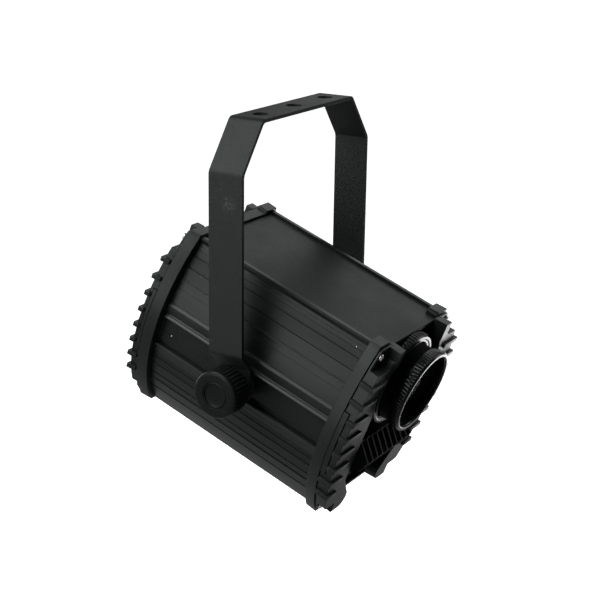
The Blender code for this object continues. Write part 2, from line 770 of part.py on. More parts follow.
def collar_outline():
    """Outer edge of an end collar, with its raised corners."""
    upper = COLLAR_TOP - CORNER_EASE
    corner = collar_x(upper)
    corner_top = COLLAR_TOP + CORNER_RISE
    lower = LOWER_CORNER + CORNER_RISE
    lower_corner = collar_x(lower)
    right = [
        (corner - CORNER_WIDTH - CORNER_RISE, COLLAR_TOP),
        (corner - CORNER_WIDTH, corner_top),
        (corner - CORNER_EASE, corner_top),
    ]
    right += side_arc(collar_x, upper, lower)
    right += [
        (lower_corner - LOWER_CORNER_EASE, LOWER_CORNER),
        (lower_corner - LOWER_CORNER_WIDTH, LOWER_CORNER),
        (lower_corner - LOWER_CORNER_WIDTH - LOWER_CORNER_SLOPE, COLLAR_BOTTOM),
    ]
    return both_sides(right)


def opening_outline(play=0.0):
    """Inner edge of a collar, in line with the inside of the shells."""
    return both_sides(side_arc(skin_x, OPENING_TOP - play, OPENING_BOTTOM + play, SHELL_WALL + play))


def band_outline(top, bottom, outer, inner):
    """A strip down one side, between two insets from the collar's outer curve."""
    return side_arc(collar_x, top, bottom, outer) + side_arc(collar_x, bottom, top, inner)


def guard_outline():
    """Right guard seen along the optical axis: curved outer edge, relief round the lens, lower lobe."""
    top_corner = GUARD_TOP - GUARD_CORNER
    bottom_corner = GUARD_BOTTOM + GUARD_CORNER
    inner = LUG_INNER + OVERLAP
    points = [(inner, GUARD_TOP), (collar_x(top_corner, GUARD_INSET) - GUARD_CORNER, GUARD_TOP)]
    points += side_arc(collar_x, top_corner, bottom_corner, GUARD_INSET)
    points.append((collar_x(bottom_corner, GUARD_INSET) - GUARD_CORNER, GUARD_BOTTOM))
    points += circle(LOBE_RADIUS, LOBE_CENTRE, 4, math.radians(-90), math.radians(-115))
    knee_in, knee_down = GUARD_KNEE
    points += [(GUARD_INNER - knee_in, GUARD_HIP - knee_down), (GUARD_INNER, GUARD_HIP)]
    lower = -math.acos(GUARD_INNER / LENS_RELIEF_RADIUS)
    upper = math.acos(inner / LENS_RELIEF_RADIUS)
    points += circle(LENS_RELIEF_RADIUS, (0, OPTIC_HEIGHT), 6, lower, upper - lower)
    return points


def guard_hollow():
    """Pocket behind the right guard's face, which leaves its walls."""
    points = side_arc(collar_x, HOLLOW_END, -HOLLOW_END, GUARD_INSET + GUARD_WALL)
    inner = GUARD_INNER + GUARD_WALL
    points.append((inner, GUARD_HIP - GUARD_WALL))
    relief = LENS_RELIEF_RADIUS + GUARD_WALL
    lower = -math.acos(inner / relief)
    upper = math.asin((HOLLOW_END - OPTIC_HEIGHT) / relief)
    points += circle(relief, (0, OPTIC_HEIGHT), 4, lower, upper - lower)
    return points


def rib(side, height, front):
    """One rib: down the guard's side, then in across its face."""
    outer = collar_x(height)
    tip = outer - FINGER_LENGTH
    if height < 0:
        tip = max(tip, FINGER_STOP)
    back = -(COLLAR_DEPTH + 2 * GAP)
    root = outer - GUARD_INSET - RIB_ROOT
    outline = [
        (outer, back),
        (outer, front - RIB_PROUD),
        (tip, front - RIB_PROUD),
        (tip, front + OVERLAP),
        (root, front + OVERLAP),
        (root, back),
    ]
    return flared(prism([flipped(outline, side)], height - RIB_WIDTH / 2, height + RIB_WIDTH / 2, "Z"))


def screw_places():
    """Places of the screws on the right half of an end frame."""
    return [(collar_x(z) - SCREW_INSET, z) for z in SCREW_HEIGHTS]


def make_guard(frame, name, side, depth, cheek_depth):
    """A guard on one side of an end frame, with its lug, ribs, hollow back and screw tabs."""
    back = -(COLLAR_DEPTH + GAP)
    front = -(COLLAR_DEPTH + depth)

    def leaning(outline, low, high):
        return flared(prism([flipped(outline, side)], low, high))

    guard = piece(name, leaning(guard_outline(), front, back), frame, MOULDED)
    far = COLLAR_WAIST + OVERLAP
    above = COLLAR_TOP + LUG_SWEEP
    below = LOWER_CORNER - OVERLAP
    upper = [
        (LUG_OUTER - OVERLAP, above),
        (LUG_OUTER - OVERLAP, GUARD_SHOULDER + LUG_SWEEP * 0.7),
        (LUG_OUTER + LUG_SWEEP * 0.4, GUARD_SHOULDER + LUG_SWEEP * 0.2),
        (LUG_OUTER + LUG_SWEEP, GUARD_SHOULDER),
        (far, GUARD_SHOULDER),
        (far, above),
    ]
    lower = [(LUG_OUTER, below), (far, below), (far, GUARD_HEEL), (LUG_OUTER, GUARD_HEEL - OVERLAP)]
    tab_face = back - GUARD_TAB
    boolean(
        guard, "DIFFERENCE", [leaning(shape, 2 * front, tab_face) for shape in (upper, lower)]
    )
    lug = [(LUG_INNER, LUG_FOOT), (LUG_OUTER, LUG_FOOT), (LUG_OUTER, GUARD_TOP), (LUG_INNER, GUARD_TOP)]
    boolean(guard, "UNION", [leaning(lug, front - LUG_PROUD, back - OVERLAP)])
    boolean(guard, "UNION", [rib(side, RIB_TOP - i * RIB_PITCH, front) for i in range(RIB_COUNT)])
    boolean(guard, "DIFFERENCE", [leaning(guard_hollow(), front + GUARD_WALL, 0)])
    notch = band_outline(
        CHEEK_TOP + GAP, CHEEK_BOTTOM - GAP, -OVERLAP, CHEEK_INSET + CHEEK_WALL + GAP
    )
    boolean(guard, "DIFFERENCE", [leaning(notch, -(COLLAR_DEPTH + cheek_depth + GAP), 0)])
    hole = SCREW_RADIUS + HOLE_PLAY
    boolean(
        guard,
        "DIFFERENCE",
        [rod(hole, tab_face - OVERLAP, 0, "Y", (side * x, z), 12) for x, z in screw_places()],
    )


def make_screw(frame, name, place):
    """A pan-head screw that holds a guard's tab to its collar."""
    x, z = place
    seat = -(COLLAR_DEPTH + GAP + GUARD_TAB)
    axis = empty(f"{name}_axis", (x, seat, z), frame, (math.pi / 2, 0, 0))
    head_top = GAP + SCREW_HEAD_HEIGHT
    screw = turned(
        name,
        [
            (0, head_top),
            (SCREW_HEAD_RADIUS - SCREW_HEAD_BEVEL, head_top),
            (SCREW_HEAD_RADIUS, GAP),
            (SCREW_RADIUS, GAP),
            (SCREW_RADIUS, -SCREW_LENGTH),
            (0, -SCREW_LENGTH),
        ],
        axis,
        STEEL,
        12,
    )
    length, width, depth = SCREW_SLOT
    slot = box((-length / 2, -width / 2, head_top - depth), (length / 2, width / 2, head_top + depth))
    boolean(screw, "DIFFERENCE", [slot])


def make_collar(frame, label, cheek_depth):
    """The collar of one end: a leaning band with a stepped opening and a deeper cheek on each side."""
    base = flared(prism([collar_outline()], -COLLAR_DEPTH, 0))
    collar = piece(f"{label}_collar", base, frame, MOULDED)
    front = -(COLLAR_DEPTH + OVERLAP)
    boolean(collar, "DIFFERENCE", [prism([opening_outline()], front, OVERLAP)])
    mouth = both_sides(side_arc(collar_x, MOUTH_TOP, MOUTH_BOTTOM, MOUTH_BAND))
    boolean(collar, "DIFFERENCE", [prism([mouth], front, GAP - PLATE_SET_BACK)])
    cheek = band_outline(CHEEK_TOP, CHEEK_BOTTOM, CHEEK_INSET, CHEEK_INSET + CHEEK_WALL)
    cheeks = [
        flared(prism([flipped(cheek, side)], -(COLLAR_DEPTH + cheek_depth), OVERLAP - COLLAR_DEPTH))
        for side in (-1, 1)
    ]
    boolean(collar, "UNION", cheeks)
    holes = [
        rod(SCREW_RADIUS + HOLE_PLAY, front, -OVERLAP, "Y", (side * x, z), 12)
        for side in (-1, 1)
        for x, z in screw_places()
    ]
    boolean(collar, "DIFFERENCE", holes)


def make_end(housing, label, place, turn, guard_depth, cheek_depth):
    """Collar, two guards and four screws of one end. In its frame the joint with the shells is y = 0."""
    frame = empty(f"{label}_end", (0, place, 0), housing, (0, 0, turn))
    make_collar(frame, label, cheek_depth)
    world_side = 1 if turn == 0 else -1
    for side in (-1, 1):
        side_name = "right" if side * world_side > 0 else "left"
        make_guard(frame, f"{label}_guard_{side_name}", side, guard_depth, cheek_depth)
        for (x, z), level in zip(screw_places(), ("upper", "lower")):
            make_screw(frame, f"{label}_screw_{level}_{side_name}", (side * x, z))
    return frame


def end_plate(frame, name, holes):
    """The plate inside a collar's opening, with its holes."""
    front = -(PLATE_SET_BACK - GAP)
    return piece(name, prism([opening_outline(GAP)] + holes, front, front + PLATE_THICK), frame, POWDER)


def rectangle(x, z, width, height):
    """Corners of a rectangle about a centre."""
    return [
        (x - width / 2, z - height / 2),
        (x + width / 2, z - height / 2),
        (x + width / 2, z + height / 2),
        (x - width / 2, z + height / 2),
    ]


def make_front(frame):
    """Front plate and the vent grille of sloping fins below the lens."""
    grille_bottom = GRILLE_TOP - GRILLE_HEIGHT
    vent_low = grille_bottom + VENT_MARGIN
    vent_high = GRILLE_TOP - VENT_MARGIN
    holes = [
        circle(TUBE_RADIUS + GAP, (0, OPTIC_HEIGHT)),
        rectangle(0, (vent_low + vent_high) / 2, 2 * VENT_HALF_WIDTH, vent_high - vent_low),
    ]
    end_plate(frame, "front_plate", holes)
    seat = -PLATE_SET_BACK
    ledge = seat - GRILLE_LEDGE_DEPTH
    profile = [
        (seat, GRILLE_TOP),
        (ledge, GRILLE_TOP),
        (seat - GRILLE_NOSE_DEPTH, GRILLE_TOP - GRILLE_NOSE_DROP),
        (seat - GRILLE_CHIN_DEPTH, GRILLE_TOP - GRILLE_CHIN_DROP),
        (seat - GRILLE_FOOT_DEPTH, grille_bottom),
        (seat, grille_bottom),
    ]
    half = FIN_PITCH * (FIN_COUNT - 1) / 2 + FIN_THICK / 2
    grille = piece(
        "vent_grille",
        box((-half, ledge, GRILLE_TOP - GRILLE_BAR), (half, seat, GRILLE_TOP)),
        frame,
        MOULDED,
    )
    fins = []
    for i in range(FIN_COUNT):
        x = (i - (FIN_COUNT - 1) / 2) * FIN_PITCH
        fins.append(prism([profile], x - FIN_THICK / 2, x + FIN_THICK / 2, "X"))
    boolean(grille, "UNION", fins)
    foot = seat - GRILLE_FOOT_DEPTH + OVERLAP
    boolean(
        grille, "UNION", [box((-half, foot, grille_bottom), (half, seat, grille_bottom + GRILLE_BAR))]
    )


def lens_profile(radius, low, front_bulge, rear_bulge, steps=3):
    """A lens with a flat rim as wide as the shoulders that hold it: front, rim, rear."""
    clear = radius - LENS_RIM
    front, rear = [], []
    for i in range(steps + 1):
        rise = 1 - (i / steps) ** 2
        front.append((clear * i / steps, low + LENS_EDGE + front_bulge * rise))
        rear.append((clear * i / steps, low - rear_bulge * rise))
    return front + [(radius, low + LENS_EDGE), (radius, low)] + rear[::-1]


def make_lens_barrel(axis):
    """Flange on the front plate, lens tube with turned lines, and the focus ring round its mouth."""
    flange = ring(FLANGE_RADIUS, TUBE_RADIUS + GAP, PLATE_FACE, FLANGE_FRONT, FLANGE_CHAMFER)
    turned("lens_flange", flange, axis, GLOSS, closed=True)
    neck = RING_REAR - GAP
    step_radius = TUBE_RADIUS - GAP
    profile = [(TUBE_BORE, TUBE_FRONT), (step_radius, TUBE_FRONT), (step_radius, neck)]
    for i in range(THREAD_COUNT):
        top = THREAD_START + (THREAD_COUNT - i) * THREAD_PITCH
        profile += [(TUBE_RADIUS, top), (TUBE_RADIUS - THREAD_DEPTH, top - THREAD_PITCH / 2)]
    profile += [(TUBE_RADIUS, THREAD_START), (TUBE_RADIUS, TUBE_REAR), (TUBE_BORE, TUBE_REAR)]
    turned("lens_tube", profile, axis, GLOSS, closed=True)
    step = TUBE_FRONT + GAP
    turned(
        "focus_ring",
        [
            (RING_MOUTH + RING_CHAMFER, RING_FRONT),
            (RING_RADIUS - RING_CHAMFER, RING_FRONT),
            (RING_RADIUS, RING_FRONT - RING_CHAMFER),
            (RING_RADIUS, RING_REAR),
            (TUBE_RADIUS, RING_REAR),
            (TUBE_RADIUS, step),
            (RING_MOUTH, step),
        ],
        axis,
        GLOSS,
        closed=True,
    )


def make_lens_group(axis):
    """The projection lens in its sliding carrier, under a retaining ring."""
    outer = TUBE_BORE - GAP
    inner = outer - CARRIER_WALL
    carrier_rear = CARRIER_FRONT - CARRIER_LENGTH
    turned(
        "lens_carrier",
        [
            (inner, CARRIER_FRONT),
            (outer, CARRIER_FRONT),
            (outer, carrier_rear),
            (inner - SHOULDER, carrier_rear),
            (inner - SHOULDER, LENS_SEAT - GAP),
            (inner, LENS_SEAT - GAP),
        ],
        axis,
        MOULDED,
        closed=True,
    )
    lens = lens_profile(LENS_RADIUS, LENS_SEAT, LENS_BULGE, LENS_BULGE)
    turned("projection_lens", lens, axis, GLASS)
    low = LENS_SEAT + LENS_EDGE + GAP
    retainer = ring(LENS_RADIUS, LENS_RADIUS - SHOULDER, low, low + RETAINER_HEIGHT, RETAINER_CHAMFER)
    turned("lens_retaining_ring", retainer, axis, MOULDED, closed=True)


def make_light_source(axis):
    """Condenser lens in its holder, reflector and the board with the light source."""
    holder_top = TUBE_REAR - GAP
    seat = HOLDER_REAR + HOLDER_SEAT
    inner = CONDENSER_RADIUS + GAP
    turned(
        "condenser_holder",
        [
            (inner, holder_top),
            (TUBE_RADIUS, holder_top),
            (TUBE_RADIUS, HOLDER_REAR),
            (CONDENSER_RADIUS - SHOULDER, HOLDER_REAR),
            (CONDENSER_RADIUS - SHOULDER, seat - GAP),
            (inner, seat - GAP),
        ],
        axis,
        MOULDED,
        closed=True,
    )
    condenser = lens_profile(CONDENSER_RADIUS, seat, CONDENSER_FRONT_BULGE, CONDENSER_REAR_BULGE)
    turned("condenser_lens", condenser, axis, GLASS)
    mouth = HOLDER_REAR - GAP
    neck = LED_PLANE + GAP
    turned(
        "reflector",
        [
            (REFLECTOR_MOUTH, mouth),
            (REFLECTOR_RIM, mouth),
            (REFLECTOR_RIM, mouth - REFLECTOR_WALL),
            (REFLECTOR_MOUTH + REFLECTOR_WALL, mouth - REFLECTOR_WALL),
            (REFLECTOR_NECK + REFLECTOR_WALL, neck),
            (REFLECTOR_NECK, neck),
        ],
        axis,
        MIRROR,
        closed=True,
    )
    half = LED_BOARD_HALF
    back = LED_PLANE - LED_BOARD_THICK
    board = piece("led_board", box((-half, -half, back), (half, half, LED_PLANE)), axis, BOARD)
    emitter = rod(EMITTER_RADIUS, LED_PLANE - LED_BOARD_THICK / 4, LED_PLANE + EMITTER_PROUD, "Z")
    boolean(board, "UNION", [emitter])


def make_optics(housing):
    """Everything on the optical axis, from the light source to the focus ring."""
    axis = empty("optical_axis", (0, 0, OPTIC_HEIGHT), housing, (math.pi / 2, 0, 0))
    make_lens_barrel(axis)
    make_lens_group(axis)
    make_light_source(axis)


def make_heat_sink(housing):
    """Heat sink behind the light source, standing on the shelf. Returns where its fins end."""
    base_front = -(LED_PLANE - LED_BOARD_THICK - GAP)
    base_back = base_front + SINK_BASE
    fin_back = base_back + SINK_FIN_DEPTH
    comb = [(-SINK_HALF, base_front), (SINK_HALF, base_front)]
    pitch = (2 * SINK_HALF - SINK_FIN_THICK) / (SINK_FIN_COUNT - 1)
    for i in range(SINK_FIN_COUNT):
        right = SINK_HALF - i * pitch
        left = right - SINK_FIN_THICK
        comb += [(right, fin_back), (left, fin_back)]
        if i < SINK_FIN_COUNT - 1:
            comb += [(left, base_back), (right - pitch, base_back)]
    low = OPTIC_HEIGHT - SINK_HALF_HEIGHT
    high = OPTIC_HEIGHT + SINK_HALF_HEIGHT
    sink = piece("heat_sink", prism([comb], low, high, "Z"), housing, ALUMINIUM)
    foot = box(
        (-SINK_FOOT_HALF, base_front, SHELF_TOP + GAP),
        (SINK_FOOT_HALF, base_back - OVERLAP, low + OVERLAP),
    )
    boolean(sink, "UNION", [foot])
    return fin_back


def make_fan(housing, place):
    """Fan frame with a cross of spokes behind, and the rotor on its hub."""
    axis = empty("fan_axis", (0, place, OPTIC_HEIGHT), housing, (-math.pi / 2, 0, 0))
    sides = [rectangle(0, 0, FAN_SIZE, FAN_SIZE), circle(FAN_BORE, (0, 0))]
    frame = piece("fan_frame", prism(sides, 0, FAN_DEPTH, "Z"), axis, MOULDED)
    thickness, width = FAN_SPIDER
    spider_low = FAN_DEPTH - thickness
    reach = FAN_BORE + OVERLAP
    for half_x, half_y in ((reach, width / 2), (width / 2, reach)):
        boolean(frame, "UNION", [box((-half_x, -half_y, spider_low), (half_x, half_y, FAN_DEPTH))])
    boolean(frame, "UNION", [rod(FAN_HUB, spider_low, FAN_DEPTH, "Z")])
    hub_high = spider_low - GAP
    rotor = piece("fan_rotor", rod(FAN_HUB, FAN_HUB_LOW, hub_high, "Z"), axis, MOULDED)
    chord, thickness = BLADE_SIZE
    blades = []
    for i in range(BLADE_COUNT):
        blade = box(
            (FAN_HUB - OVERLAP, -chord / 2, -thickness / 2),
            (FAN_BORE - BLADE_PLAY, chord / 2, thickness / 2),
        )
        blade.transform(Matrix.Rotation(BLADE_ANGLE, 4, "X"))
        blade.transform(Matrix.Translation((0, 0, (FAN_HUB_LOW + hub_high) / 2)))
        blade.transform(Matrix.Rotation(2 * math.pi * i / BLADE_COUNT, 4, "Z"))
        blades.append(blade)
    boolean(rotor, "UNION", blades)


def make_inside(housing):
    """Shelf across the shells, the cooling on it, and the power supply on the bottom cover."""
    half = skin_x(SHELF_TOP, SHELL_WALL) - 2 * GAP
    shelf = box((-half, SHELF_FRONT, SHELF_TOP - SHELF_THICK), (half, SHELF_REAR, SHELF_TOP))
    piece("chassis_shelf", shelf, housing, ALUMINIUM)
    make_fan(housing, make_heat_sink(housing) + GAP)
    half = lower_lip() - LEDGE_REACH - SUPPLY_PLAY
    floor = COVER_BOTTOM + COVER_THICK + GAP
    supply = box((-half, SUPPLY_FRONT, floor), (half, SUPPLY_FRONT + SUPPLY_LENGTH, floor + SUPPLY_HEIGHT))
    piece("power_supply", supply, housing, ALUMINIUM)


def make_display(frame):
    """The dark window over the hole of the display."""
    window = rectangle(0, DISPLAY_HEIGHT, *DISPLAY_SIZE)
    face = -(PLATE_SET_BACK + DISPLAY_THICK)
    piece("display_window", prism([window], face, -PLATE_SET_BACK), frame, DISPLAY)


def button_places():
    """Places of the menu buttons across the rear plate."""
    return [(i - (BUTTON_COUNT - 1) / 2) * BUTTON_PITCH for i in range(BUTTON_COUNT)]


def make_button(frame, number, x):
    """A round menu button with a rim behind the plate and a stem towards the board."""
    axis = empty(f"menu_button_axis_{number}", (x, 0, BUTTON_HEIGHT), frame, (math.pi / 2, 0, 0))
    top = PLATE_SET_BACK - GAP + BUTTON_PROUD
    shoulder = PLATE_SET_BACK - GAP - PLATE_THICK - GAP
    rim = BUTTON_RADIUS + BUTTON_RIM
    stem_end = BUTTON_TRAVEL_GAP - BOARD_BEHIND
    turned(
        f"menu_button_{number}",
        [
            (0, top),
            (BUTTON_RADIUS, top),
            (BUTTON_RADIUS, shoulder),
            (rim, shoulder),
            (rim, shoulder - BUTTON_RIM),
            (BUTTON_STEM, shoulder - BUTTON_RIM),
            (BUTTON_STEM, stem_end),
            (0, stem_end),
        ],
        axis,
        MOULDED,
        16,
    )


def latch_slot():
    """Outline of the slot that the socket latch slides in."""
    width, height = LATCH_SIZE
    return rectangle(SOCKET_OFFSET, LATCH_HEIGHT, width + 2 * GAP, height + 2 * GAP)


def make_data_socket(frame, name, x, is_output):
    """A round three-pole socket behind a rectangular flange: pins in a well, or a face with holes."""
    face = -(PLATE_SET_BACK + SOCKET_FLANGE_THICK)
    flange = rectangle(x, SOCKET_HEIGHT, *SOCKET_FLANGE)
    socket = piece(name, prism([flange], face, -PLATE_SET_BACK), frame, MOULDED)
    back = face + SOCKET_DEPTH
    centre = (x, SOCKET_HEIGHT)
    boolean(socket, "UNION", [rod(SOCKET_RADIUS, face + OVERLAP, back, "Y", centre)])
    angles = [math.radians(angle) for angle in POLE_ANGLES]
    poles = [
        (x + POLE_CIRCLE * math.cos(angle), SOCKET_HEIGHT + POLE_CIRCLE * math.sin(angle))
        for angle in angles
    ]
    floor = back - SOCKET_FLOOR
    if is_output:
        holes = [rod(POLE_HOLE_RADIUS, face - OVERLAP, floor, "Y", pole, 12) for pole in poles]
        boolean(socket, "DIFFERENCE", holes)
        boolean(socket, "DIFFERENCE", [prism([latch_slot()], face - OVERLAP, OVERLAP - PLATE_SET_BACK)])
    else:
        boolean(socket, "DIFFERENCE", [rod(SOCKET_BORE, face - OVERLAP, floor, "Y", centre)])
        pins = [rod(POLE_RADIUS, face + POLE_SUNK, floor + OVERLAP, "Y", pole, 12) for pole in poles]
        boolean(socket, "UNION", pins)


def make_mains_inlet(frame):
    """Mains inlet: flange, body, cavity and its three pins."""
    face = -(PLATE_SET_BACK + INLET_FLANGE_THICK)
    flange = prism([rectangle(0, INLET_HEIGHT, *INLET_FLANGE)], face, -PLATE_SET_BACK)
    inlet = piece("mains_inlet", flange, frame, MOULDED)
    back = face + INLET_DEPTH
    boolean(inlet, "UNION", [prism([rectangle(0, INLET_HEIGHT, *INLET_BODY)], face + OVERLAP, back)])
    floor = back - INLET_FLOOR
    cavity = rectangle(0, INLET_HEIGHT, *INLET_CAVITY)
    boolean(inlet, "DIFFERENCE", [prism([cavity], face - OVERLAP, floor)])
    long_side, short_side = INLET_PIN
    across, along = INLET_PIN_PLACE
    outlines = [
        rectangle(-across, INLET_HEIGHT - along, long_side, short_side),
        rectangle(across, INLET_HEIGHT - along, long_side, short_side),
        rectangle(0, INLET_HEIGHT + along, short_side, long_side),
    ]
    pins = [prism([outline], face + INLET_PIN_SUNK, floor + OVERLAP) for outline in outlines]
    boolean(inlet, "UNION", pins)


def make_safety_eye(frame):
    """A flat base with a loop of square wire for a safety cable."""
    width, height, thickness = EYE_BASE
    base = -(PLATE_SET_BACK + thickness)
    outline = rectangle(0, EYE_HEIGHT, width, height)
    eye = piece("safety_eye", prism([outline], base, -PLATE_SET_BACK), frame, STEEL)
    outer = EYE_RADIUS + EYE_WIRE
    inner = EYE_RADIUS - EYE_WIRE
    sunk = base + OVERLAP
    loop = [(-outer, sunk), (-outer, base)]
    loop += [(-x, base - y) for x, y in circle(outer, (0, 0), 16, 0, math.pi)]
    loop += [(outer, sunk), (inner, sunk)]
    loop += [(x, base - y) for x, y in circle(inner, (0, 0), 12, 0, math.pi)]
    loop.append((-inner, sunk))
    boolean(eye, "UNION", [prism([loop], EYE_HEIGHT - EYE_WIRE, EYE_HEIGHT + EYE_WIRE, "Z")])


def make_control_board(frame):
    """The board behind the rear plate, with a standoff at each corner."""
    outline = rectangle(0, BOARD_HEIGHT, *BOARD_SIZE)
    board = piece(
        "control_board", prism([outline], BOARD_BEHIND, BOARD_BEHIND + BOARD_THICK), frame, BOARD
    )
    plate_back = PLATE_THICK + GAP - PLATE_SET_BACK
    half_x = BOARD_SIZE[0] / 2 - POST_INSET[0]
    half_z = BOARD_SIZE[1] / 2 - POST_INSET[1]
    posts = []
    for side_x in (-1, 1):
        for side_z in (-1, 1):
            centre = (side_x * half_x, BOARD_HEIGHT + side_z * half_z)
            post_end = BOARD_BEHIND + BOARD_THICK / 3
            posts.append(rod(POST_RADIUS, plate_back + GAP, post_end, "Y", centre, 16))
    boolean(board, "UNION", posts)


def make_rear(frame):
    """Rear plate with display, buttons, sockets, mains inlet and safety eye, and the board behind it."""
    cap_hole = BUTTON_RADIUS + HOLE_PLAY
    width, height = INLET_BODY
    holes = [circle(cap_hole, (x, BUTTON_HEIGHT), 16) for x in button_places()]
    holes += [circle(SOCKET_RADIUS + GAP, (x, SOCKET_HEIGHT), 24) for x in (-SOCKET_OFFSET, SOCKET_OFFSET)]
    holes.append(rectangle(0, INLET_HEIGHT, width + 2 * GAP, height + 2 * GAP))
    holes.append(rectangle(0, DISPLAY_HEIGHT, *DISPLAY_HOLE))
    plate = end_plate(frame, "rear_plate", holes)
    boolean(plate, "DIFFERENCE", [prism([latch_slot()], -(PLATE_SET_BACK + OVERLAP), 0)])
    make_display(frame)
    make_data_socket(frame, "data_socket_in", -SOCKET_OFFSET, False)
    make_data_socket(frame, "data_socket_out", SOCKET_OFFSET, True)
    latch = rectangle(SOCKET_OFFSET, LATCH_HEIGHT, *LATCH_SIZE)
    latch_face = -(PLATE_SET_BACK + SOCKET_FLANGE_THICK + LATCH_PROUD)
    piece("socket_latch", prism([latch], latch_face, -LATCH_BACK), frame, STEEL)
    for number, x in enumerate(button_places(), 1):
        make_button(frame, number, x)
    make_control_board(frame)
    make_mains_inlet(frame)
    make_safety_eye(frame)


def make_stage_light():
    """The whole light, hanging with its housing tilted nose down."""
    make_yoke()
    housing = empty("housing_axis", (0, 0, -YOKE_HEIGHT), None, (REST_TILT, 0, 0))
    boss_face = make_tilt_clamp(housing, -1, "left")
    make_tilt_clamp(housing, 1, "right")
    make_shells(housing, boss_face)
    front = make_end(housing, "front", BODY_FRONT, 0, FRONT_GUARD_DEPTH, FRONT_CHEEK_DEPTH)
    rear = make_end(housing, "rear", BODY_REAR, math.pi, REAR_GUARD_DEPTH, REAR_CHEEK_DEPTH)
    make_front(front)
    make_rear(rear)
    make_optics(housing)
    make_inside(housing)
    for obj in PARTS.objects:
        if obj.type == "MESH":
            obj.data.shade_smooth()
            obj.data.set_sharp_from_angle(angle=math.radians(35))


make_stage_light()
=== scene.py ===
"""Stage light: shapes, finishes, lights and camera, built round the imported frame.

Lengths in the tables below are in millimetres and become metres where a mesh is made.
"""
import json
import math

import bmesh
import bpy
from mathutils import Matrix, Vector


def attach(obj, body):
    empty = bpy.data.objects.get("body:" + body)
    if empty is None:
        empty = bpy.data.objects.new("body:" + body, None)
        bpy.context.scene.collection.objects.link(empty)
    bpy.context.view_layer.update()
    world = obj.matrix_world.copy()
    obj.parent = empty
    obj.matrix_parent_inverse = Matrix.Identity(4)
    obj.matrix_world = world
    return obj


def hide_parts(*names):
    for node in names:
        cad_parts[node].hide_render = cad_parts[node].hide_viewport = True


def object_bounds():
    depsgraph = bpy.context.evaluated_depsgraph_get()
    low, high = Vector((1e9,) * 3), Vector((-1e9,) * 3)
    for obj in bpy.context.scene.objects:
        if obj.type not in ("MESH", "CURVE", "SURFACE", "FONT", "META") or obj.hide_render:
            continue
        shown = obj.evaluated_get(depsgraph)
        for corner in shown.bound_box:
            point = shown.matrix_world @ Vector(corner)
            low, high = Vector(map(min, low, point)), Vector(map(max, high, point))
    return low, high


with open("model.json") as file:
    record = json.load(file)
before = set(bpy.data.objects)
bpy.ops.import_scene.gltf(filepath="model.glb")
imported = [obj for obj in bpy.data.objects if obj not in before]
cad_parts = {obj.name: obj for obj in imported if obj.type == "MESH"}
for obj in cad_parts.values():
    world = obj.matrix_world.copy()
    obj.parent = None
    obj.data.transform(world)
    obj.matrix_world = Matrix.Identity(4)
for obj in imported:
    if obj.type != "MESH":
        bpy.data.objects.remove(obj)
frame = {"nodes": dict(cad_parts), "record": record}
CAD_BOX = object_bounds()

MM = 0.001
AXIS_DROP = 207.0
OPTIC_HEIGHT = 36.0
TILT = math.radians(21)
PIVOT = Vector((0, 0, -AXIS_DROP * MM))
HOUSING = Matrix.Translation(PIVOT) @ Matrix.Rotation(TILT, 4, "X")
OPTIC = HOUSING @ Matrix.Translation((0, 0, OPTIC_HEIGHT * MM))
OPTIC = OPTIC @ Matrix.Rotation(math.pi / 2, 4, "X")
BODY_OF = {n: b for b, ns in frame["record"]["behaviour"]["bodies"].items() for n in ns}
SLOT_OF = {s["node"]: s["material_slot"] for s in frame["record"]["subparts"]}


# Node tools for the finishes

class Tree:
    """A short way to write a material's nodes."""

    def __init__(self, material):
        material.use_nodes = True
        self.tree = material.node_tree
        self.tree.nodes.clear()

    def add(self, kind, settings=None, **inputs):
        node = self.tree.nodes.new("ShaderNode" + kind)
        for key, value in (settings or {}).items():
            setattr(node, key, value)
        for key, value in inputs.items():
            self.put(node, key.replace("_", " "), value)
        return node

    def put(self, node, key, value):
        socket = node.inputs[int(key)] if key.isdigit() else node.inputs[key]
        if isinstance(value, bpy.types.NodeSocket):
            self.tree.links.new(value, socket)
        else:
            socket.default_value = value

    def noise(self, place, scale, detail=2.0, roughness=0.5):
        node = self.add("TexNoise", Vector=place, Scale=scale, Detail=detail, Roughness=roughness)
        return node.outputs["Fac"]

    def ramp(self, value, stops):
        node = self.add("ValToRGB", Fac=value)
        ramp = node.color_ramp
        while len(ramp.elements) < len(stops):
            ramp.elements.new(0.5)
        for element, (position, colour) in zip(ramp.elements, stops):
            element.position = position
            level = colour if isinstance(colour, tuple) else (colour,) * 3
            element.color = (*level, 1)
        return node.outputs["Color"]

    def span(self, value, low, high, to_low, to_high):
        node = self.add("MapRange")
        for index, item in enumerate((value, low, high, to_low, to_high)):
            self.put(node, str(index), item)
        return node.outputs["Result"]

    def math(self, operation, first, second=0.0):
        node = self.add("Math", {"operation": operation})
        self.put(node, "0", first)
        self.put(node, "1", second)
        return node.outputs[0]

    def mix(self, factor, first, second, blend="MIX"):
        node = self.add("Mix", {"data_type": "RGBA", "blend_type": blend})
        self.put(node, "0", factor)
        for key, value in (("6", first), ("7", second)):
            self.put(node, key, (*value, 1) if isinstance(value, tuple) else value)
        return node.outputs[2]

    def bump(self, layers):
        """Layers of (height, distance in metres), finest last."""
        normal = None
        for height, distance in layers:
            node = self.add("Bump", Height=height, Distance=distance, Strength=1.0)
            if normal is not None:
                self.put(node, "Normal", normal)
            normal = node.outputs["Normal"]
        return normal

    def close(self, shader, **inputs):
        out = self.add("OutputMaterial")
        for key, value in inputs.items():
            self.put(shader, key.replace("_", " "), value)
        self.tree.links.new(shader.outputs[0], out.inputs["Surface"])


def shade(colour, factor):
    return tuple(min(1.0, c * factor) for c in colour)


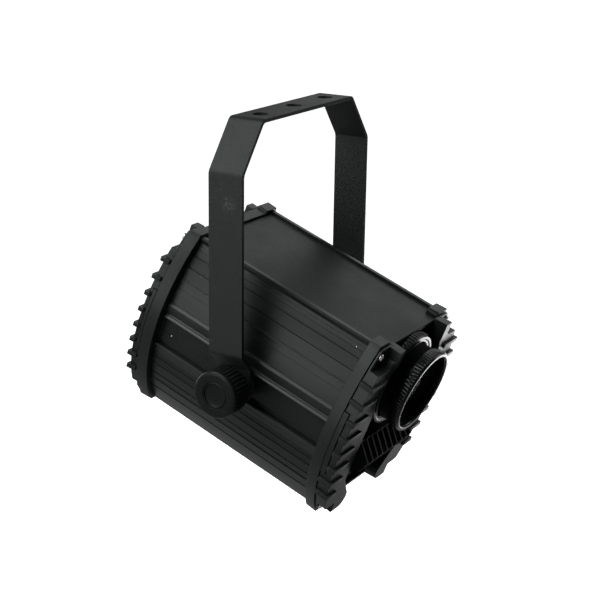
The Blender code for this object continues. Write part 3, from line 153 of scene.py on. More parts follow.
FINISHES = {}
DUST = (0.35, 0.35, 0.34)
COOL_TINT = (0.92, 1.0, 0.975, 1)
CLOUD_SCALE = 22.0
CLOUD_HEIGHT = 0.00012


def start(name):
    material = bpy.data.materials.new(name)
    FINISHES[name] = material
    tree = Tree(material)
    place = tree.add("TexCoord").outputs["Object"]
    return tree, place


def near_place(tree, place, centre):
    """Mottled patch round a place, at its full strength within 3 mm and gone at 8 mm."""
    distance = tree.add("VectorMath", {"operation": "DISTANCE"})
    tree.put(distance, "0", place)
    tree.put(distance, "1", centre)
    patch = tree.span(distance.outputs["Value"], 0.003, 0.008, 0.8, 0.0)
    mottle = tree.span(tree.noise(place, 420.0, 3.0), 0.42, 0.62, 0.0, 1.0)
    return tree.math("MULTIPLY", patch, mottle)


def black_finish(
    name, colour, roughness, grain, grain_height,
    edge=2.2, specks=0.25, coat=0.0, specular=0.13, scuff=None,
):
    """Dark painted or moulded surface: fine grain, cloudy gloss, edges painted lighter as worn paint and
    as painted highlight, and a few dust specks.
    """
    tree, place = start(name)
    fine = tree.noise(place, grain, 3.0, 0.6)
    coarse = tree.noise(place, CLOUD_SCALE, 4.0, 0.55)
    patch = tree.noise(place, CLOUD_SCALE / 4, 2.0)
    base = tree.ramp(coarse, [(0.3, shade(colour, 0.86)), (0.7, shade(colour, 1.14))])
    base = tree.mix(tree.span(fine, 0.3, 0.75, 0.0, 0.35), base, shade(colour, 1.7))
    # Edges painted lighter by pointiness: partly worn paint, partly a painted highlight where edges would
    # catch the light
    worn_and_highlit_edges = tree.add("NewGeometry").outputs["Pointiness"]
    worn_and_highlit_edges = tree.span(worn_and_highlit_edges, 0.53, 0.62, 0.0, 1.0)
    worn_and_highlit_edges = tree.math("MULTIPLY", worn_and_highlit_edges, tree.span(patch, 0.35, 0.6, 0.25, 0.9))
    base = tree.mix(worn_and_highlit_edges, base, shade(colour, edge))
    if scuff:
        base = tree.mix(near_place(tree, place, scuff), base, shade(colour, 3.5))
    dots = tree.add("TexVoronoi", {"feature": "F1"}, Vector=place, Scale=95.0, Randomness=1.0)
    dot = tree.span(dots.outputs["Distance"], 0.02, 0.05, specks, 0.0)
    sparse = tree.ramp(tree.noise(place, 31.0), [(0.52, 0.0), (0.6, 1.0)])
    dot = tree.math("MULTIPLY", dot, sparse)
    base = tree.mix(dot, base, DUST)
    gloss = tree.span(coarse, 0.3, 0.7, roughness - 0.05, roughness + 0.06)
    gloss = tree.math("ADD", gloss, tree.span(fine, 0.2, 0.8, -0.04, 0.05))
    shader = tree.add("BsdfPrincipled", Metallic=0.0)
    shader.inputs["Specular IOR Level"].default_value = specular
    shader.inputs["Specular Tint"].default_value = COOL_TINT
    shader.inputs["Coat Weight"].default_value = coat
    shader.inputs["Coat Roughness"].default_value = 0.12
    normal = tree.bump([(coarse, CLOUD_HEIGHT), (fine, grain_height)])
    tree.close(shader, Base_Color=base, Roughness=gloss, Normal=normal)


def metal_finish(name, colour, roughness, scale=(1.0, 1.0, 1.0)):
    """Bare metal with drawn lines, small scratches and slight tarnish."""
    tree, place = start(name)
    lines = tree.add("Mapping", Vector=place, Scale=scale).outputs["Vector"]
    fine = tree.noise(lines, 400.0, 4.0, 0.65)
    cloud = tree.noise(place, 60.0, 3.0)
    base = tree.ramp(cloud, [(0.3, shade(colour, 0.82)), (0.75, shade(colour, 1.05))])
    base = tree.mix(tree.span(fine, 0.35, 0.7, 0.0, 0.3), base, shade(colour, 0.6))
    gloss = tree.span(fine, 0.25, 0.75, roughness - 0.07, roughness + 0.1)
    shader = tree.add("BsdfPrincipled", Metallic=1.0)
    tree.close(shader, Base_Color=base, Roughness=gloss, Normal=tree.bump([(fine, 0.00001)]))


def glass_finish(name, tint, coating):
    """Lens glass with a thin tinted coating and faint dust."""
    tree, place = start(name)
    dust = tree.noise(place, 900.0, 4.0, 0.7)
    cloud = tree.noise(place, 40.0)
    base = tree.mix(tree.span(cloud, 0.3, 0.7, 0.0, 0.4), tint, shade(tint, 0.9))
    gloss = tree.span(dust, 0.55, 0.8, 0.015, 0.135)
    shader = tree.add("BsdfPrincipled")
    shader.inputs["Transmission Weight"].default_value = 1.0
    shader.inputs["IOR"].default_value = 1.5
    shader.inputs["Specular IOR Level"].default_value = 0.12
    shader.inputs["Coat Weight"].default_value = 0.1
    shader.inputs["Coat Roughness"].default_value = 0.03
    shader.inputs["Coat Tint"].default_value = (*coating, 1)
    tree.close(shader, Base_Color=base, Roughness=gloss)


def board_finish(name, colour):
    """Circuit board: lacquer over tracks."""
    tree, place = start(name)
    cells = tree.add("TexVoronoi", {"feature": "DISTANCE_TO_EDGE"}, Vector=place, Scale=260.0)
    track = tree.span(cells.outputs["Distance"], 0.03, 0.07, 1.0, 0.0)
    fine = tree.noise(place, 800.0)
    base = tree.mix(track, colour, shade(colour, 2.1))
    base = tree.mix(tree.span(fine, 0.4, 0.7, 0.0, 0.3), base, shade(colour, 0.6))
    shader = tree.add("BsdfPrincipled")
    tree.close(
        shader,
        Base_Color=base,
        Roughness=tree.span(fine, 0.3, 0.7, 0.3, 0.5),
        Normal=tree.bump([(track, 0.00004)]),
    )


def glow_finish(name, colour, strength):
    """Segments of the display, slightly uneven."""
    tree, place = start(name)
    fine = tree.noise(place, 700.0)
    base = tree.mix(tree.span(fine, 0.3, 0.7, 0.0, 0.5), colour, shade(colour, 0.7))
    shader = tree.add("BsdfPrincipled", Roughness=0.4)
    shader.inputs["Emission Strength"].default_value = strength
    tree.close(shader, Base_Color=base, Emission_Color=base)


SCUFF_ON_ARM = (-0.0974, -0.003, -0.061)

# Black surfaces: colour, roughness, scale and height of the grain, then what differs from the usual; edge
# is how much lighter the edges are painted, as worn paint and as painted highlight
BLACKS = {
    "yoke_powder": ((0.0085, 0.0095, 0.0092), 0.5, 800.0, 0.0002, {"edge": 1.3, "scuff": SCUFF_ON_ARM}),
    "cover_powder": ((0.0075, 0.0085, 0.0082), 0.46, 800.0, 0.0002, {}),
    "shell_black": ((0.006, 0.007, 0.0067), 0.29, 900.0, 0.00006, {"specks": 0.4, "specular": 0.16}),
    "moulded_black": ((0.0065, 0.0075, 0.0072), 0.4, 900.0, 0.00006, {"edge": 2.4, "specular": 0.16}),
    "grille_black": ((0.0045, 0.005, 0.005), 0.5, 1100.0, 0.00003, {"specular": 0.07}),
    "knob_black": (
        (0.005, 0.0058, 0.0056), 0.36, 900.0, 0.00004, {"edge": 3.0, "coat": 0.03, "specular": 0.08}
    ),
    "baffle_black": ((0.0015, 0.0018, 0.002), 0.5, 1000.0, 0.00001, {"edge": 1.5, "specular": 0.04}),
    "lens_black": ((0.003, 0.0035, 0.0038), 0.24, 1000.0, 0.00001, {"edge": 3.5, "coat": 0.1}),
    "friction_fibre": ((0.01, 0.0105, 0.0105), 0.7, 1400.0, 0.00009, {"edge": 1.5}),
    "display_black": ((0.003, 0.0035, 0.0045), 0.12, 500.0, 0.000004, {"coat": 0.5, "specks": 0.1}),
}


def make_finishes():
    for name, (colour, roughness, grain, height, other) in BLACKS.items():
        black_finish(name, colour, roughness, grain, height, **other)
    metal_finish("bright_steel", (0.62, 0.62, 0.61), 0.24)
    metal_finish("insert_brass", (0.72, 0.55, 0.25), 0.35)
    metal_finish("bare_aluminium", (0.62, 0.63, 0.64), 0.38, (1.0, 0.1, 1.0))
    metal_finish("bright_reflector", (0.5, 0.5, 0.5), 0.12)
    glass_finish("lens_glass", (0.75, 0.8, 0.84), (0.75, 0.7, 0.95))
    board_finish("circuit_board", (0.02, 0.12, 0.05))
    glow_finish("display_digits", (0.5, 0.03, 0.02), 0.6)


# Mesh tools

WELD = 0.00001


def linked(name, data):
    """A new object in the scene."""
    obj = bpy.data.objects.new(name, data)
    bpy.context.scene.collection.objects.link(obj)
    return obj


def shaded(mesh, finish, angle):
    """Smooth shading up to an angle, and a finish."""
    mesh.shade_smooth()
    mesh.set_sharp_from_angle(angle=math.radians(angle))
    mesh.materials.clear()
    mesh.materials.append(FINISHES[finish])
    return mesh


def show(name, mesh, node, finish=None, angle=50):
    """A piece that stands for a CAD node, rides on its body and has its slot's finish."""
    slot = SLOT_OF[node]
    obj = linked(name, shaded(mesh, finish or slot, angle))
    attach(obj, BODY_OF[node])
    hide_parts(node)
    return obj


def show_weighted(name, mesh, node, finish=None, angle=32):
    """The same for a piece with flat faces, whose normals the large faces decide."""
    obj = show(name, mesh, node, finish, angle)
    modifier = obj.modifiers.new("weighted_normals", "WEIGHTED_NORMAL")
    modifier.keep_sharp = True
    modifier.weight = 60


def add_on(name, mesh, node, finish, angle=32):
    """A small extra piece that rides with a node."""
    obj = linked(name, shaded(mesh, finish, angle))
    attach(obj, BODY_OF[node])


def mesh_from(bm, name):
    bmesh.ops.recalc_face_normals(bm, faces=bm.faces)
    mesh = bpy.data.meshes.new(name)
    bm.to_mesh(mesh)
    bm.free()
    return mesh


def round_edges(bm, width, segments, angle=28.0):
    """Rounds the edges that turn by more than the angle."""
    bm.normal_update()
    sharp = [
        e for e in bm.edges
        if len(e.link_faces) == 2 and e.calc_face_angle(0) > math.radians(angle)
        and e.calc_length() > 1.2 * width * MM
    ]
    bmesh.ops.bevel(
        bm, geom=sharp, offset=width * MM, segments=segments, profile=0.5, affect="EDGES",
        clamp_overlap=False, miter_outer="SHARP",
    )


def refined(node, width, segments=2, angle=28.0, source=None):
    """The CAD node's surface, or a source mesh in its place, with its edges rounded."""
    bm = bmesh.new()
    bm.from_mesh(source or frame["nodes"][node].data)
    bmesh.ops.remove_doubles(bm, verts=bm.verts, dist=WELD)
    round_edges(bm, width, segments, angle)
    return mesh_from(bm, node + "_form")


def turned(name, profile, matrix, count=128, teeth=0):
    """Lathe form round the local Z axis.

    A profile row is (radius, height) or (radius, height, tooth depth).
    """
    rows = [(row + (0.0,))[:3] for row in profile]
    bm = bmesh.new()
    rings = []
    for radius, height, depth in rows:
        if radius < 1e-6:
            rings.append([bm.verts.new((0, 0, height * MM))])
            continue
        ring = []
        for i in range(count):
            angle = 2 * math.pi * i / count
            swell = depth * tooth(i * teeth / count) if depth else 0.0
            r = (radius + swell) * MM
            ring.append(bm.verts.new((r * math.cos(angle), r * math.sin(angle), height * MM)))
        rings.append(ring)
    closed = rows[0][0] > 1e-6
    pairs = list(zip(rings, rings[1:]))
    if closed:
        pairs.append((rings[-1], rings[0]))
    for low, high in pairs:
        for i in range(count):
            j = (i + 1) % count
            if len(low) == 1:
                bm.faces.new((low[0], high[j], high[i]))
            elif len(high) == 1:
                bm.faces.new((low[i], low[j], high[0]))
            else:
                bm.faces.new((low[i], low[j], high[j], high[i]))
    bmesh.ops.transform(bm, matrix=matrix, verts=bm.verts)
    return mesh_from(bm, name)


def tooth(share):
    """Flat-topped tooth with sloping flanks, 0 at its root and 1 on its top."""
    phase = share % 1.0
    rise = 0.16
    if phase < rise:
        return phase / rise
    if phase < 0.5:
        return 1.0
    if phase < 0.5 + rise:
        return 1.0 - (phase - 0.5) / rise
    return 0.0


def softened(points, radius, steps=3, closed=True):
    """Rounds the corners of a row of points."""
    result = []
    count = len(points)
    for i, point in enumerate(points):
        if not closed and i in (0, count - 1):
            result.append(tuple(point[:2]))
            continue
        before = Vector(points[i - 1][:2])
        here = Vector(point[:2])
        after = Vector(points[(i + 1) % count][:2])
        first = before - here
        last = after - here
        reach = min(radius, first.length * 0.45, last.length * 0.45)
        if reach < 1e-4 or first.angle(last, 0) > math.radians(168):
            result.append(tuple(here))
            continue
        start_point = here + first.normalized() * reach
        end_point = here + last.normalized() * reach
        for step in range(steps + 1):
            t = step / steps
            mid = start_point * (1 - t) ** 2 + here * 2 * t * (1 - t) + end_point * t ** 2
            result.append(tuple(mid))
    return result


LAID = {
    "X": lambda place, a, b: (place, a, b),
    "Y": lambda place, a, b: (a, place, b),
    "Z": lambda place, a, b: (a, b, place),
}


def extruded(outlines, low, high, matrix=None, axis="Y"):
    """Prism of one or more closed outlines between two places along an axis of its frame."""
    bm = bmesh.new()
    for outline in outlines:
        rings = []
        for place in (low, high):
            corners = [LAID[axis](place, a, b) for a, b in outline]
            rings.append([bm.verts.new([c * MM for c in corner]) for corner in corners])
        count = len(outline)
        for i in range(count):
            j = (i + 1) % count
            bm.faces.new((rings[0][i], rings[0][j], rings[1][j], rings[1][i]))
        bm.faces.new(rings[0])
        bm.faces.new(rings[1][::-1])
    if matrix is not None:
        bmesh.ops.transform(bm, matrix=matrix, verts=bm.verts)
    return mesh_from(bm, "prism")


def cut(mesh, tools, width=0.0):
    """Applies booleans, given as (kind, mesh), and then rounds the edges. Returns a new mesh."""
    base = linked("scratch_base", mesh)
    scratch = [linked(f"scratch_tool_{i}", tool) for i, (kind, tool) in enumerate(tools)]
    for tool, (kind, _) in zip(scratch, tools):
        modifier = base.modifiers.new("cut", "BOOLEAN")
        modifier.operation = kind
        modifier.solver = "EXACT"
        modifier.object = tool
    bpy.context.view_layer.update()
    done = bpy.data.meshes.new_from_object(
        base.evaluated_get(bpy.context.evaluated_depsgraph_get())
    )
    for obj in scratch + [base]:
        old = obj.data
        bpy.data.objects.remove(obj)
        bpy.data.meshes.remove(old)
    if width:
        bm = bmesh.new()
        bm.from_mesh(done)
        bmesh.ops.remove_doubles(bm, verts=bm.verts, dist=WELD)
        bmesh.ops.dissolve_limit(bm, angle_limit=math.radians(0.3), verts=bm.verts, edges=bm.edges)
        round_edges(bm, width, 2)
        bm.to_mesh(done)
        bm.free()
    return done


def arc(radius, centre, count, start_angle=0.0, sweep=2 * math.pi):
    """Points along an arc. A full circle leaves out the last, which is the first again."""
    points = count if sweep > 6.28 else count + 1
    angles = [start_angle + sweep * i / count for i in range(points)]
    return [(centre[0] + radius * math.cos(a), centre[1] + radius * math.sin(a)) for a in angles]


def housing_box(node):
    """Lowest and highest corner of a node in the housing's own frame, in millimetres."""
    inverse = HOUSING.inverted()
    points = [inverse @ v.co for v in frame["nodes"][node].data.vertices]
    low = [min(p[i] for p in points) / MM for i in range(3)]
    high = [max(p[i] for p in points) / MM for i in range(3)]
    return low, high


# Yoke

BAR = {"width": 30.0, "thick": 3.0}
YOKE_HALF = 97.4
YOKE_SHOULDER_IN = 27.9
YOKE_SHOULDER_DROP = 38.0
YOKE_STEP = (28.0, 16.0, 11.0)
YOKE_BEND = 5.0
HANG_HOLE = (6.5, 49.0)
STUD_BORE = 4.3


def bent_path(corners, radius, steps=9):
    """Middle line of a bent bar, with an arc at each corner."""
    path = [Vector(corners[0])]
    for before, here, after in zip(corners, corners[1:], corners[2:]):
        here = Vector(here)
        first = (Vector(before) - here).normalized()
        last = (Vector(after) - here).normalized()
        half = first.angle(last) / 2
        reach = radius / math.tan(half)
        centre = here + (first + last).normalized() * (radius / math.sin(half))
        low = here + first * reach - centre
        high = here + last * reach - centre
        turn = low.angle_signed(high)
        for i in range(steps + 1):
            rotation = Matrix.Rotation(-turn * i / steps, 2)
            path.append(centre + rotation @ low)
    path.append(Vector(corners[-1]))
    return path


def thickened(path, thickness):
    """Closed outline of a strip about a path."""
    left, right = [], []
    for i, point in enumerate(path):
        before = path[max(0, i - 1)]
        after = path[min(len(path) - 1, i + 1)]
        along = (after - before).normalized()
        if 0 < i < len(path) - 1:
            a = (point - before).normalized()
            b = (after - point).normalized()
            along = (a + b).normalized()
        across = Vector((-along.y, along.x)) * thickness / 2
        left.append(tuple(point + across))
        right.append(tuple(point - across))
    return left + right[::-1]


def make_yoke():
    half_bar = BAR["thick"] / 2
    half = BAR["width"] / 2
    arm = YOKE_HALF - half_bar
    step_start, step_end, step_in = YOKE_STEP
    lower = arm - step_in
    right = [
        (YOKE_HALF - YOKE_SHOULDER_IN - half_bar, -half_bar),
        (arm, -YOKE_SHOULDER_DROP),
        (arm, step_start - AXIS_DROP),
        (lower, step_end - AXIS_DROP),
        (lower, -half - AXIS_DROP),
    ]
    corners = [(-x, z) for x, z in reversed(right)] + right
    strip = thickened(bent_path(corners, YOKE_BEND), BAR["thick"])
    side = arc(half, (0, -AXIS_DROP), 32, math.pi, math.pi)
    side += [(half, BAR["width"]), (-half, BAR["width"])]
    tools = [("INTERSECT", extruded([side], -YOKE_HALF - 1, YOKE_HALF + 1, axis="X"))]
    radius, pitch = HANG_HOLE
    for place in (-1, 0, 1):
        hole = arc(radius, (place * pitch, 0), 48)
        tools.append(("DIFFERENCE", extruded([hole], -3 * BAR["thick"], BAR["thick"], axis="Z")))
    for side_sign in (-1, 1):
        hole = arc(STUD_BORE, (0, -AXIS_DROP), 40)
        low, high = sorted((side_sign * (lower - 4), side_sign * (lower + 4)))
        tools.append(("DIFFERENCE", extruded([hole], low, high, axis="X")))
    mesh = cut(extruded([strip], -half, half), tools, 0.3)
    show_weighted("yoke_form", mesh, "yoke_bracket", angle=40)


# Clamping knobs

KNOB = {
    "back": 90.0, "face": 112.9, "teeth": 36, "seat": 10.7, "cap": 10.4, "floor": 110.4, "stud": 104.3,
}
WASHER = {"radius": 12.0, "low": 86.7, "high": 89.7}
DISC_RADIUS = 16.0


def knob_rows():
    """Outline of the knob from its bore, over the knurl, to the floor of the cap's seat."""
    back = KNOB["back"]
    face = KNOB["face"]
    shell = softened(
        [(STUD_BORE, KNOB["stud"]), (STUD_BORE, back), (12.0, back), (17.6, back + 2.0)],
        0.5,
        closed=False,
    )
    knurl = [
        (18.1, back + 2.6, 0.0),
        (18.1, back + 3.0, 0.35),
        (18.1, back + 3.6, 0.85),
        (18.1, face - 5.0, 0.85),
        (18.1, face - 4.4, 0.4),
    ]
    smooth_face = softened(
        [
            (18.3, face - 4.0),
            (18.3, face - 3.2),
            (18.9, face - 2.9),
            (18.9, face - 1.5),
            (17.9, face - 0.3),
            (17.0, face - 0.3),
            (16.6, face),
            (KNOB["seat"] + 0.1, face),
            (KNOB["seat"], face - 0.1),
            (KNOB["seat"], KNOB["floor"]),
            (0.0, KNOB["floor"]),
        ],
        0.35,
        closed=False,
    )
    return [(0.0, KNOB["stud"])] + shell + knurl + smooth_face


def cap_rows():
    """Outline of the cap, with a shallow dish in its face."""
    floor = KNOB["floor"]
    top = KNOB["face"] - 0.15
    return softened(
        [
            (0.0, floor + 0.9),
            (6.0, floor + 0.8),
            (9.2, floor + 1.1),
            (9.5, top),
            (KNOB["cap"] - 0.4, top),
            (KNOB["cap"], top - 0.4),
            (KNOB["cap"], floor + 0.3),
            (0.0, floor + 0.3),
        ],
        0.3,
        closed=False,
    )


def sleeve_rows(outer, low, high, rounding):
    """Outline of a flat ring round the stud."""
    return softened([(STUD_BORE, low), (outer, low), (outer, high), (STUD_BORE, high)], rounding)


def make_knobs():
    for side, label in ((-1, "left"), (1, "right")):
        matrix = HOUSING @ Matrix.Rotation(side * math.pi / 2, 4, "Y")
        mesh = turned("knob", knob_rows(), matrix, KNOB["teeth"] * 12, KNOB["teeth"])
        show(f"tilt_knob_{label}_form", mesh, f"tilt_knob_{label}")
        mesh = turned("cap", cap_rows(), matrix, 96)
        show(f"knob_cap_{label}_form", mesh, f"knob_cap_{label}")
        rows = sleeve_rows(WASHER["radius"], WASHER["low"], WASHER["high"], 0.4)
        mesh = turned("washer", rows, matrix, 96)
        show(f"knob_washer_{label}_form", mesh, f"knob_washer_{label}")
        low, high = housing_box(f"friction_disc_{label}")
        inner, outer = sorted((abs(low[0]), abs(high[0])))
        mesh = turned("disc", sleeve_rows(DISC_RADIUS, inner, outer, 0.3), matrix, 96)
        show(f"friction_disc_{label}_form", mesh, f"friction_disc_{label}")


# Optics, turned round the optical axis. A row is a radius and a place forward of the tilt axis

FLANGE = {"rear": 84.6, "front": 97.5, "teeth": 72}
TUBE = {"bore": 30.6, "radius": 33.5, "rear": 78.0, "front": 113.0}
THREAD = {"count": 8, "front": 105.9, "pitch": 0.85, "depth": 0.5}
BAFFLE = {"count": 10, "rear": 95.0, "pitch": 1.7, "depth": 0.25}
RING = {"rear": 107.0, "front": 117.0, "stop": 113.3, "teeth": 80}
RING_DOT_ANGLE = math.radians(158)


def make_flange():
    rear, front, teeth = FLANGE["rear"], FLANGE["front"], FLANGE["teeth"]
    back = softened(
        [(33.8, front - 0.6), (33.8, rear), (39.6, rear), (40.2, rear + 0.5)],
        0.3,
        closed=False,
    )
    rim = [
        (40.3, rear + 3.6, 0.0),
        (40.3, rear + 4.0, 0.35),
        (40.3, rear + 4.5, 0.6),
        (40.3, front - 2.0, 0.6),
        (40.2, front - 1.4, 0.35),
        (40.1, front - 1.0, 0.0),
    ]
    face = softened(
        [
            (40.1, front - 0.9),
            (39.6, front),
            (37.2, front),
            (36.8, front - 0.7),
            (34.9, front - 0.7),
            (34.4, front - 0.1),
        ],
        0.25,
        closed=False,
    )
    mesh = turned("flange", back + rim + face, OPTIC, teeth * 8, teeth)
    show("lens_flange_form", mesh, "lens_flange")


def make_tube():
    bore, radius, front = TUBE["bore"], TUBE["radius"], TUBE["front"]
    rows = [(bore, front), (radius - 0.3, front), (radius - 0.3, THREAD["front"] + 0.8)]
    for i in range(THREAD["count"]):
        top = THREAD["front"] - i * THREAD["pitch"]
        rows += [(radius, top), (radius - THREAD["depth"], top - 0.42)]
    rows += [(radius, 99.0), (radius, TUBE["rear"]), (bore, TUBE["rear"])]
    for i in range(BAFFLE["count"]):
        low = BAFFLE["rear"] + i * BAFFLE["pitch"]
        rows += [(bore, low), (bore + BAFFLE["depth"], low + 0.5), (bore, low + 1.0)]
    show("lens_tube_form", turned("tube", rows, OPTIC, 160), "lens_tube", "baffle_black", 40)


def make_focus_ring():
    rear, front, teeth = RING["rear"], RING["front"], RING["teeth"]
    back = softened(
        [(33.5, RING["stop"]), (33.5, rear), (34.7, rear), (35.1, rear + 0.5)],
        0.25,
        closed=False,
    )
    grip = [
        (35.1, rear + 0.9, 0.0),
        (35.4, rear + 1.2, 0.1),
        (35.5, rear + 1.8, 0.2),
        (35.5, front - 3.4, 0.2),
        (35.3, front - 2.6, 0.6),
        (35.3, front - 1.7, 0.6),
        (35.1, front - 1.3, 0.0),
    ]
    rim = softened(
        [
            (35.3, front - 1.0),
            (34.8, front),
            (32.6, front),
            (31.9, front - 0.8),
            (31.4, front - 1.6),
            (31.4, RING["stop"]),
        ],
        0.25,
        closed=False,
    )
    mesh = turned("ring", back + grip + rim, OPTIC, teeth * 6, teeth)
    show("focus_ring_form", mesh, "focus_ring", angle=45)
    place = OPTIC @ Matrix.Rotation(RING_DOT_ANGLE, 4, "Z")
    place = place @ Matrix.Translation((35.6 * MM, 0, 110.6 * MM)) @ Matrix.Rotation(math.pi / 2, 4, "Y")
    dot = turned("dot", [(0.0, 0.5), (0.7, 0.45), (1.1, 0.2), (1.1, -0.3), (0.0, -0.3)], place, 24)
    add_on("focus_ring_dot", dot, "focus_ring", "lens_black")


def lens_rows(clear, edge, low, high, bulges, steps):
    """Outline of a lens from its axis: clear radius, edge radius, rim's places, bulge of each face."""
    front_bulge, rear_bulge = bulges
    shares = [i / steps for i in range(steps + 1)]
    front = [(clear * t, high + front_bulge * (1 - t ** 2)) for t in shares]
    rear = [(clear * t, low - rear_bulge * (1 - t ** 2)) for t in reversed(shares)]
    rim = [(edge - 0.3, high), (edge, high - 0.3), (edge, low + 0.3), (edge - 0.3, low)]
    return front + rim + rear


def make_lens_group():
    outer, inner = 30.3, 28.3
    rear, shoulder, front = 92.0, 101.2, 109.5
    rows = softened(
        [
            (inner, front - 0.6),
            (outer - 0.4, front),
            (outer, front - 0.4),
            (outer, rear),
            (25.9, rear),
            (25.9, shoulder),
            (inner, shoulder),
        ],
        0.2,
    )
    show("lens_carrier_form", turned("carrier", rows, OPTIC, 128), "lens_carrier", "baffle_black")
    rows = lens_rows(24.9, 27.9, 101.5, 104.5, (3.0, 3.0), 14)
    show("projection_lens_form", turned("lens", rows, OPTIC, 128), "projection_lens")
    rows = softened([(25.5, 104.8), (27.9, 104.8), (27.9, 107.0), (26.6, 107.0), (25.5, 106.2)], 0.2)
    mesh = turned("retainer", rows, OPTIC, 128)
    show("retaining_ring_form", mesh, "lens_retaining_ring", "baffle_black")


def make_condenser():
    rows = lens_rows(26.3, 29.3, 60.0, 63.0, (6.0, 0.5), 12)
    show("condenser_lens_form", turned("condenser", rows, OPTIC, 96), "condenser_lens")


def make_reflector():
    """A dish whose depth grows with the square of its radius beyond the light source."""
    throat, mouth, rear, front = 12.0, 28.0, 18.3, 51.7
    rim, wall, steps = 29.2, 1.2, 12
    inner = []
    for i in range(steps):
        share = i / steps
        inner.append((throat + (mouth - throat) * math.sqrt(share), rear + (front - rear) * share))
    outer = [(min(radius + wall, rim), place) for radius, place in reversed(inner)]
    rows = [(mouth, front), (32.0, front), (32.0, front - wall), (rim, front - wall)] + outer + inner
    show("reflector_form", turned("reflector", rows, OPTIC, 96), "reflector", angle=60)


# Screws with a cross recess

SCREW_HEAD = 2.3


def screw_mesh():
    head = softened(
        [
            (0.0, SCREW_HEAD),
            (1.7, 2.25),
            (2.7, 1.7),
            (3.0, 0.9),
            (3.0, 0.3),
            (1.5, 0.3),
            (1.5, -8.0),
            (0.0, -8.0),
        ],
        0.25,
        closed=False,
    )
    mesh = turned("screw", head, Matrix.Identity(4), 48)
    arm, half = 1.75, 0.4
    plus = [
        (-arm, -half), (-half, -half), (-half, -arm), (half, -arm), (half, -half), (arm, -half),
        (arm, half), (half, half), (half, arm), (-half, arm), (-half, half), (-arm, half),
    ]
    return cut(mesh, [("DIFFERENCE", extruded([plus], 1.1, 4.0, axis="Z"))])


def make_screws():
    shape = screw_mesh()
    for end, sign in (("front", 1), ("rear", -1)):
        for level in ("upper", "lower"):
            for side in ("left", "right"):
                node = f"{end}_screw_{level}_{side}"
                low, high = housing_box(node)
                x = (low[0] + high[0]) / 2
                z = (low[2] + high[2]) / 2
                seat = low[1] + SCREW_HEAD if sign > 0 else high[1] - SCREW_HEAD
                place = HOUSING @ Matrix.Translation((x * MM, seat * MM, z * MM))
                place = place @ Matrix.Rotation(sign * math.pi / 2, 4, "X")
                driven_to = 0.4 + 0.9 * (x > 0) + 0.5 * (z > 0)
                mesh = shape.copy()
                mesh.transform(place @ Matrix.Rotation(driven_to, 4, "Z"))
                show(node + "_form", mesh, node, angle=40)
    bpy.data.meshes.remove(shape)


# Moulded and sheet pieces: the CAD surface with rounded edges

ROUNDED = {
    "bottom_cover": 0.3,
    "side_shell_left": 0.12,
    "side_shell_right": 0.12,
    "rear_collar": 0.5,
    "front_guard_left": 0.4,
    "front_guard_right": 0.4,
    "rear_guard_left": 0.4,
    "rear_guard_right": 0.4,
    "front_plate": 0.25,
    "rear_plate": 0.25,
    "display_window": 0.3,
    "menu_button_1": 0.35,
    "menu_button_2": 0.35,
    "menu_button_3": 0.35,
    "menu_button_4": 0.35,
    "data_socket_in": 0.3,
    "data_socket_out": 0.3,
    "socket_latch": 0.3,
    "mains_inlet": 0.3,
    "safety_eye": 0.3,
}


def make_rounded():
    for node, width in ROUNDED.items():
        show_weighted(node + "_form", refined(node, width), node)
    show_weighted("vent_grille_form", refined("vent_grille", 0.3), "vent_grille", "grille_black")


# Top of the front end: the cover runs on over the collar as far as the mouth's edge

COVER_RISE = 1.6
TONGUE_HALF = 41.0
TONGUE_GAP = 0.1


def rectangle(x_low, x_high, y_low, y_high):
    return [(x_low, y_low), (x_high, y_low), (x_high, y_high), (x_low, y_high)]


def make_top():
    low, high = housing_box("top_cover")
    collar_top = housing_box("front_collar")[1][2]
    mouth = housing_box("front_guard_right")[1][1]
    top = high[2] + COVER_RISE
    notch = rectangle(-TONGUE_HALF, TONGUE_HALF, mouth - 9, low[1] + 0.2)
    opening = extruded([notch], top - 0.8, collar_top + 5, HOUSING, "Z")
    collar = cut(frame["nodes"]["front_collar"].data.copy(), [("DIFFERENCE", opening)])
    show_weighted("front_collar_form", refined("front_collar", 0.5, source=collar), "front_collar")
    tongue = TONGUE_HALF - TONGUE_GAP
    outline = [
        (-high[0], high[1]), (-high[0], low[1]), (-tongue, low[1]), (-tongue, mouth),
        (tongue, mouth), (tongue, low[1]), (high[0], low[1]), (high[0], high[1]),
    ]
    plate = extruded([outline], low[2], top, HOUSING, "Z")
    show_weighted("top_cover_form", refined("top_cover", 0.35, source=plate), "top_cover")


# Ridges of the side shells

# Side curves of the shells and of the collars: half width at the middle, and radii above and below it
SKIN = {"waist": 72.0, "middle": 0.0, "upper": 160.0, "lower": 125.0}
COLLAR = {"waist": 80.2, "middle": 3.7, "upper": 138.0, "lower": 130.0}

# Outline of each ridge, as rows of a height and how far it stands out from the shell there
RIDGES = (
    ((79.5, 3.0), (79.3, 4.3), (78.6, 4.1), (75.3, 1.3), (75.0, 0.9)),
    ((44.3, -0.2), (43.5, 1.1), (43.0, 1.0), (42.8, -0.2)),
    ((23.7, -0.2), (23.5, 0.3), (21.5, 1.9), (20.8, 1.9), (14.6, 0.7), (14.5, -0.2)),
    ((14.5, -0.2), (14.3, 0.5), (11.2, 2.6), (10.4, 2.4), (9.8, -0.2)),
    ((-14.7, -0.5), (-14.9, 2.3), (-15.5, 2.6), (-18.0, 1.9), (-24.0, 0.9), (-24.1, -0.2)),
)
RIDGE_ENDS = (-79.4, 84.2)


def half_width(curve, z):
    """Half width at height z of a section whose side is an upper and a lower arc."""
    z -= curve["middle"]
    radius = curve["upper"] if z >= 0 else curve["lower"]
    return curve["waist"] - radius + math.sqrt(radius * radius - z * z)


